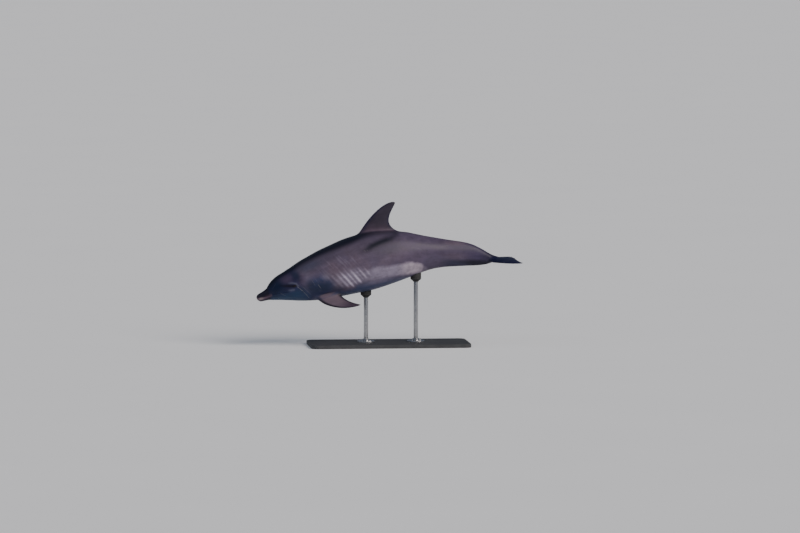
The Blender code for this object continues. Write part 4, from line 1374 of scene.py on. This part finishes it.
def ring_piece(name, rings, finish):
    """A closed piece through rings of points, from its underside's ring to its top's."""
    shape = bmesh.new()
    loops = [[shape.verts.new(place) for place in ring] for ring in rings]
    for loop, following in zip(loops, loops[1:]):
        for i, vertex in enumerate(loop):
            j = (i + 1) % len(loop)
            shape.faces.new((vertex, loop[j], following[j], following[i]))
    shape.faces.new(reversed(loops[0]))
    shape.faces.new(loops[-1])
    mesh = finish_mesh(shape, name)
    mesh.set_sharp_from_angle(angle=math.radians(35))
    mesh.materials.append(finish)
    return add_object(name, mesh)


base_low, base_high = (Vector(corner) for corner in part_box("stand_base"))
base_middle, base_half = (base_low + base_high) / 2, (base_high - base_low) / 2
profile = [(BASE_FOOT, base_low.z), (0.0, base_low.z + BASE_FOOT)]
for step in range(EDGE_STEPS + 1):
    turn = math.pi / 2 * step / EDGE_STEPS
    profile.append((BASE_EDGE * (1 - math.cos(turn)), base_high.z - BASE_EDGE * (1 - math.sin(turn))))
rings = []
for inset, level in profile:
    ring = []
    for quarter, (sx, sy) in enumerate(((1, 1), (-1, 1), (-1, -1), (1, -1))):
        for step in range(CORNER_STEPS + 1):
            turn = math.pi / 2 * (quarter + step / CORNER_STEPS)
            x = base_middle.x + sx * (base_half.x - BASE_CORNER) + (BASE_CORNER - inset) * math.cos(turn)
            y = base_middle.y + sy * (base_half.y - BASE_CORNER) + (BASE_CORNER - inset) * math.sin(turn)
            ring.append(Vector((x, y, level)))
    rings.append(ring)
base = ring_piece("base_board", rings, board_paint)
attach(base, "root")
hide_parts("stand_base")


# --- Stand: rods, flanges and screws ---
# Each rod is a bar of satin steel in a turned flange with a short hub. Four screws hold the flange to the
# base, each with a low coned head and a hexagon socket.
TURNED_SIDES, EDGE_TURNS = 96, 4
ROD_EDGE, FLANGE_EDGE = 0.0012, 0.003
HUB_RADIUS, HUB_HEIGHT, HUB_EDGE, HUB_FILLET, HUB_BORE = 0.029, 0.016, 0.0015, 0.003, 0.0002
SCREW_RADIUS, SCREW_CIRCLE, SCREWS = 0.0058, 0.050, 4

STEEL, STEEL_DARK, DRAWN = (0.50, 0.50, 0.50), (0.42, 0.42, 0.43), (1, 1, 0.04)
satin_steel = worn_material("satin_steel", STEEL, STEEL_DARK, 0.26, 1.0, 900.0, 0.12, 0.0002, DRAWN)


def circle(axis_x, radius, level):
    """A level ring of points round an upright axis on the middle plane."""
    turns = (2 * math.pi * i / TURNED_SIDES for i in range(TURNED_SIDES))
    return [Vector((axis_x + radius * math.cos(a), radius * math.sin(a), level)) for a in turns]


def rounded(outer, low, high, edge):
    """A turned profile from the foot to the top with its upper corner rounded off."""
    turns = (math.pi / 2 * k / EDGE_TURNS for k in range(EDGE_TURNS + 1))
    corner = [(outer - edge * (1 - math.cos(a)), high - edge * (1 - math.sin(a))) for a in turns]
    return [(outer, low), *corner]


screws, given, result = new_group(
    "screw_circle",
    (
        ("Axis X", "Float", 0.0),
        ("Top", "Float", 0.042),
        ("Circle", "Float", SCREW_CIRCLE),
        ("Screw Radius", "Float", SCREW_RADIUS),
        ("Count", "Int", SCREWS),
        ("Finish", "Material", None),
    ),
    ("Geometry",),
    "Geometry",
    "Geometry",
)
radius = given["Screw Radius"]
middle = node(screws, "ShaderNodeCombineXYZ", {"X": given["Axis X"], "Z": given["Top"]})
ring = node(screws, "GeometryNodeMeshCircle", {"Vertices": given["Count"], "Radius": given["Circle"]})
quarter_turn = {"Geometry": ring, "Translation": middle, "Rotation": (0, 0, math.radians(45))}
ring = node(screws, "GeometryNodeTransform", quarter_turn)
sizes = {"Vertices": 32, "Radius Bottom": radius, "Radius Top": radius * 0.86, "Depth": radius * 0.28}
head = node(screws, "GeometryNodeMeshCone", sizes)
hexagon = node(screws, "GeometryNodeMeshCylinder", {"Vertices": 6, "Depth": 0.01, "Radius": radius * 0.48})
hexagon = node(screws, "GeometryNodeTransform", {"Geometry": hexagon, "Translation": (0, 0, 0.0055)})
cut = node(screws, "GeometryNodeMeshBoolean", {"Mesh 1": head, "Mesh 2": hexagon}, operation="DIFFERENCE")
placed = node(screws, "GeometryNodeInstanceOnPoints", {"Points": ring, "Instance": cut})
real = node(screws, "GeometryNodeRealizeInstances", {0: placed})
painted = node(screws, "GeometryNodeSetMaterial", {"Geometry": real, "Material": given["Finish"]})
feed(result, {"Geometry": painted})


def screw_piece(name, axis_x, top):
    """Runs the screw circle's tree for one flange and keeps its result as a plain mesh."""
    holder = add_object(name + "_maker", bpy.data.meshes.new(name + "_maker"))
    making = holder.modifiers.new("screws", "NODES")
    making.node_group = screws
    sockets = {item.name: item.identifier for item in screws.interface.items_tree if item.in_out == "INPUT"}
    for word, value in (("Axis X", axis_x), ("Top", top), ("Finish", satin_steel)):
        making[sockets[word]] = value
    bpy.context.view_layer.update()
    mesh = bpy.data.meshes.new_from_object(holder.evaluated_get(bpy.context.evaluated_depsgraph_get()))
    bpy.data.objects.remove(holder)
    mesh.name = name
    mesh.set_sharp_from_angle(angle=math.radians(30))
    return add_object(name, mesh)


for word in ("front", "rear"):
    rod_low, rod_high = (Vector(corner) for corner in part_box("stand_rod_" + word))
    flange_low, flange_high = (Vector(corner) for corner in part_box("stand_flange_" + word))
    axis_x, rod_radius = (rod_low.x + rod_high.x) / 2, (rod_high.x - rod_low.x) / 2
    top, hub_top = flange_high.z, flange_high.z + HUB_HEIGHT
    profile = [(rod_radius, rod_low.z), *rounded(rod_radius, rod_low.z + 0.001, rod_high.z, ROD_EDGE)]
    rod = ring_piece("rod_" + word, [circle(axis_x, r, z) for r, z in profile], satin_steel)
    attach(rod, "root")
    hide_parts("stand_rod_" + word)
    profile = rounded((flange_high.x - flange_low.x) / 2, flange_low.z, top, FLANGE_EDGE)
    profile += [(HUB_RADIUS + HUB_FILLET, top), (HUB_RADIUS + 0.3 * HUB_FILLET, top + 0.3 * HUB_FILLET)]
    profile += rounded(HUB_RADIUS, top + HUB_FILLET, hub_top, HUB_EDGE)
    profile += [(rod_radius + HUB_BORE, hub_top), (rod_radius + HUB_BORE, top + HUB_BORE)]
    flange = ring_piece("flange_" + word, [circle(axis_x, r, z) for r, z in profile], satin_steel)
    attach(flange, "root")
    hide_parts("stand_flange_" + word)
    screw = screw_piece("screws_" + word, axis_x, top)
    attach(screw, "root")


# --- Stand: rubber cups ---
# A moulded rubber cup caps each rod. Its upper face and rim follow the belly, with two grooves round its wall
# so that it gives a little under the weight.
CUP_RADIUS, CUP_FOOT_RADIUS, CUP_FOOT = 0.044, 0.024, 0.006
CUP_TAPER, CUP_GAP = 0.026, 0.0007
GROOVES, GROOVE_DEPTH = (0.17, 0.23, 0.47, 0.53), 0.0016
WALL_SHARES = (0.0, 0.14, 0.17, 0.23, 0.26, 0.44, 0.47, 0.53, 0.56, 0.9, 1.0)

RUBBER, RUBBER_WORN = (0.022, 0.022, 0.023), (0.030, 0.029, 0.029)
black_rubber = worn_material("black_rubber", RUBBER, RUBBER_WORN, 0.62, 0.0, 500.0, 0.20, 0.0003)
belly = BVHTree.FromPolygons([tuple(point) for point in all_points], all_faces)
below_belly = base_high.z + 0.05


def under_belly(axis_x, radius, drop):
    """A ring of points that lies under the belly by drop, in metres."""
    ring = circle(axis_x, radius, below_belly)
    return [belly.ray_cast(place, Vector((0, 0, 1)))[0] - Vector((0, 0, drop)) for place in ring]


for word in ("front", "rear"):
    cup_low, cup_high = (Vector(corner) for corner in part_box("stand_cup_" + word))
    axis_x, foot = (cup_low.x + cup_high.x) / 2, cup_low.z
    rings = [circle(axis_x, CUP_FOOT_RADIUS - 0.002, foot), circle(axis_x, CUP_FOOT_RADIUS, foot + 0.0012)]
    rings.append(circle(axis_x, CUP_FOOT_RADIUS + 0.0006, foot + CUP_FOOT))
    for share in (0.25, 0.5, 0.75, 0.9):
        radius = CUP_FOOT_RADIUS + (CUP_RADIUS - CUP_FOOT_RADIUS) * math.sin(math.pi / 2 * share)
        rings.append(circle(axis_x, radius, foot + CUP_FOOT + (CUP_TAPER - CUP_FOOT) * share))
    rim, lower = under_belly(axis_x, CUP_RADIUS, 0.0025), circle(axis_x, CUP_RADIUS, foot + CUP_TAPER)
    for share in WALL_SHARES:
        ring = []
        for low, high in zip(lower, rim):
            place = low.lerp(high, share)
            inward = Vector((axis_x - place.x, -place.y, 0)).normalized()
            ring.append(place + inward * (GROOVE_DEPTH if share in GROOVES else 0.0))
        rings.append(ring)
    rings.append(under_belly(axis_x, CUP_RADIUS - 0.0008, 0.0010))
    for radius in (CUP_RADIUS - 0.0025, 0.036, 0.028, 0.020, 0.012, 0.004):
        rings.append(under_belly(axis_x, radius, CUP_GAP))
    cup = ring_piece("cup_" + word, rings, black_rubber)
    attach(cup, "root")
    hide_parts("stand_cup_" + word)


# --- Studio ---
# A plain pale floor and sky, one broad warm light from the camera's right, and a weaker cool one from its
# left. The camera looks at the animal's left side, a little from the front and from above.
FLOOR_HALF = 400.0
FLOOR_LOW, FLOOR_HIGH, FLOOR_GLOW = (0.82, 0.83, 0.84), (0.86, 0.87, 0.88), (0.97, 0.98, 1.0, 1.0)
SKY_LOW, SKY_HIGH, SKY_STRENGTH = (0.20, 0.23, 0.29), (0.07, 0.09, 0.13), 0.9
LIGHTS = (  # name, turn, rise and spread in degrees, strength, colour
    ("key", 44.0, 36.0, 35.0, 2.6, (1.0, 0.92, 0.85)),
    ("fill", -60.0, 50.0, 60.0, 0.35, (0.85, 0.92, 1.0)),
)
CAMERA_PLACE, CAMERA_AIM = Vector((-5.5457, -53.6478, 4.8889)), Vector((0.08211, -0.10261, 0.65155))
CAMERA_LENS = 300.0

corners = [(x * FLOOR_HALF, y * FLOOR_HALF, 0) for x, y in ((-1, -1), (1, -1), (1, 1), (-1, 1))]
floor_mesh = bpy.data.meshes.new("floor")
floor_mesh.from_pydata(corners, [], [(0, 1, 2, 3)])
floor = add_object("floor", floor_mesh)
floor_paint, tree, finish = new_material("floor_paint")
feed(finish, {
    "Base Color": mixed(noise(own_place(tree), 0.7, 3.0), FLOOR_LOW, FLOOR_HIGH),
    "Roughness": 0.85,
    "Specular IOR Level": 0.2,
    "Emission Color": FLOOR_GLOW,
    "Emission Strength": 0.14,
})
floor_mesh.materials.append(floor_paint)

world = bpy.data.worlds.new("studio")
world.use_nodes = True
rise = split(node(world.node_tree, "ShaderNodeTexCoord", {}, "Generated"))[2]
sky = mixed(ramp(rise, 0.0, 0.7), SKY_LOW, SKY_HIGH)
feed(world.node_tree.nodes["Background"].inputs, {"Color": sky, "Strength": SKY_STRENGTH})
bpy.context.scene.world = world

for name, turn, rise, spread, strength, tint in LIGHTS:
    light = bpy.data.lights.new(name, "SUN")
    light.angle, light.energy, light.color = math.radians(spread), strength, tint
    turn, rise = math.radians(turn), math.radians(rise)
    towards = Vector((math.sin(turn) * math.cos(rise), -math.cos(turn) * math.cos(rise), math.sin(rise)))
    add_object(name, light).rotation_euler = towards.to_track_quat("Z", "Y").to_euler()

lens = bpy.data.cameras.new("camera")
lens.lens, lens.sensor_width, lens.clip_end = CAMERA_LENS, 36.0, 1000.0
camera = add_object("camera", lens)
camera.location = CAMERA_PLACE
camera.rotation_euler = (CAMERA_PLACE - CAMERA_AIM).to_track_quat("Z", "Y").to_euler()
bpy.context.scene.camera = camera
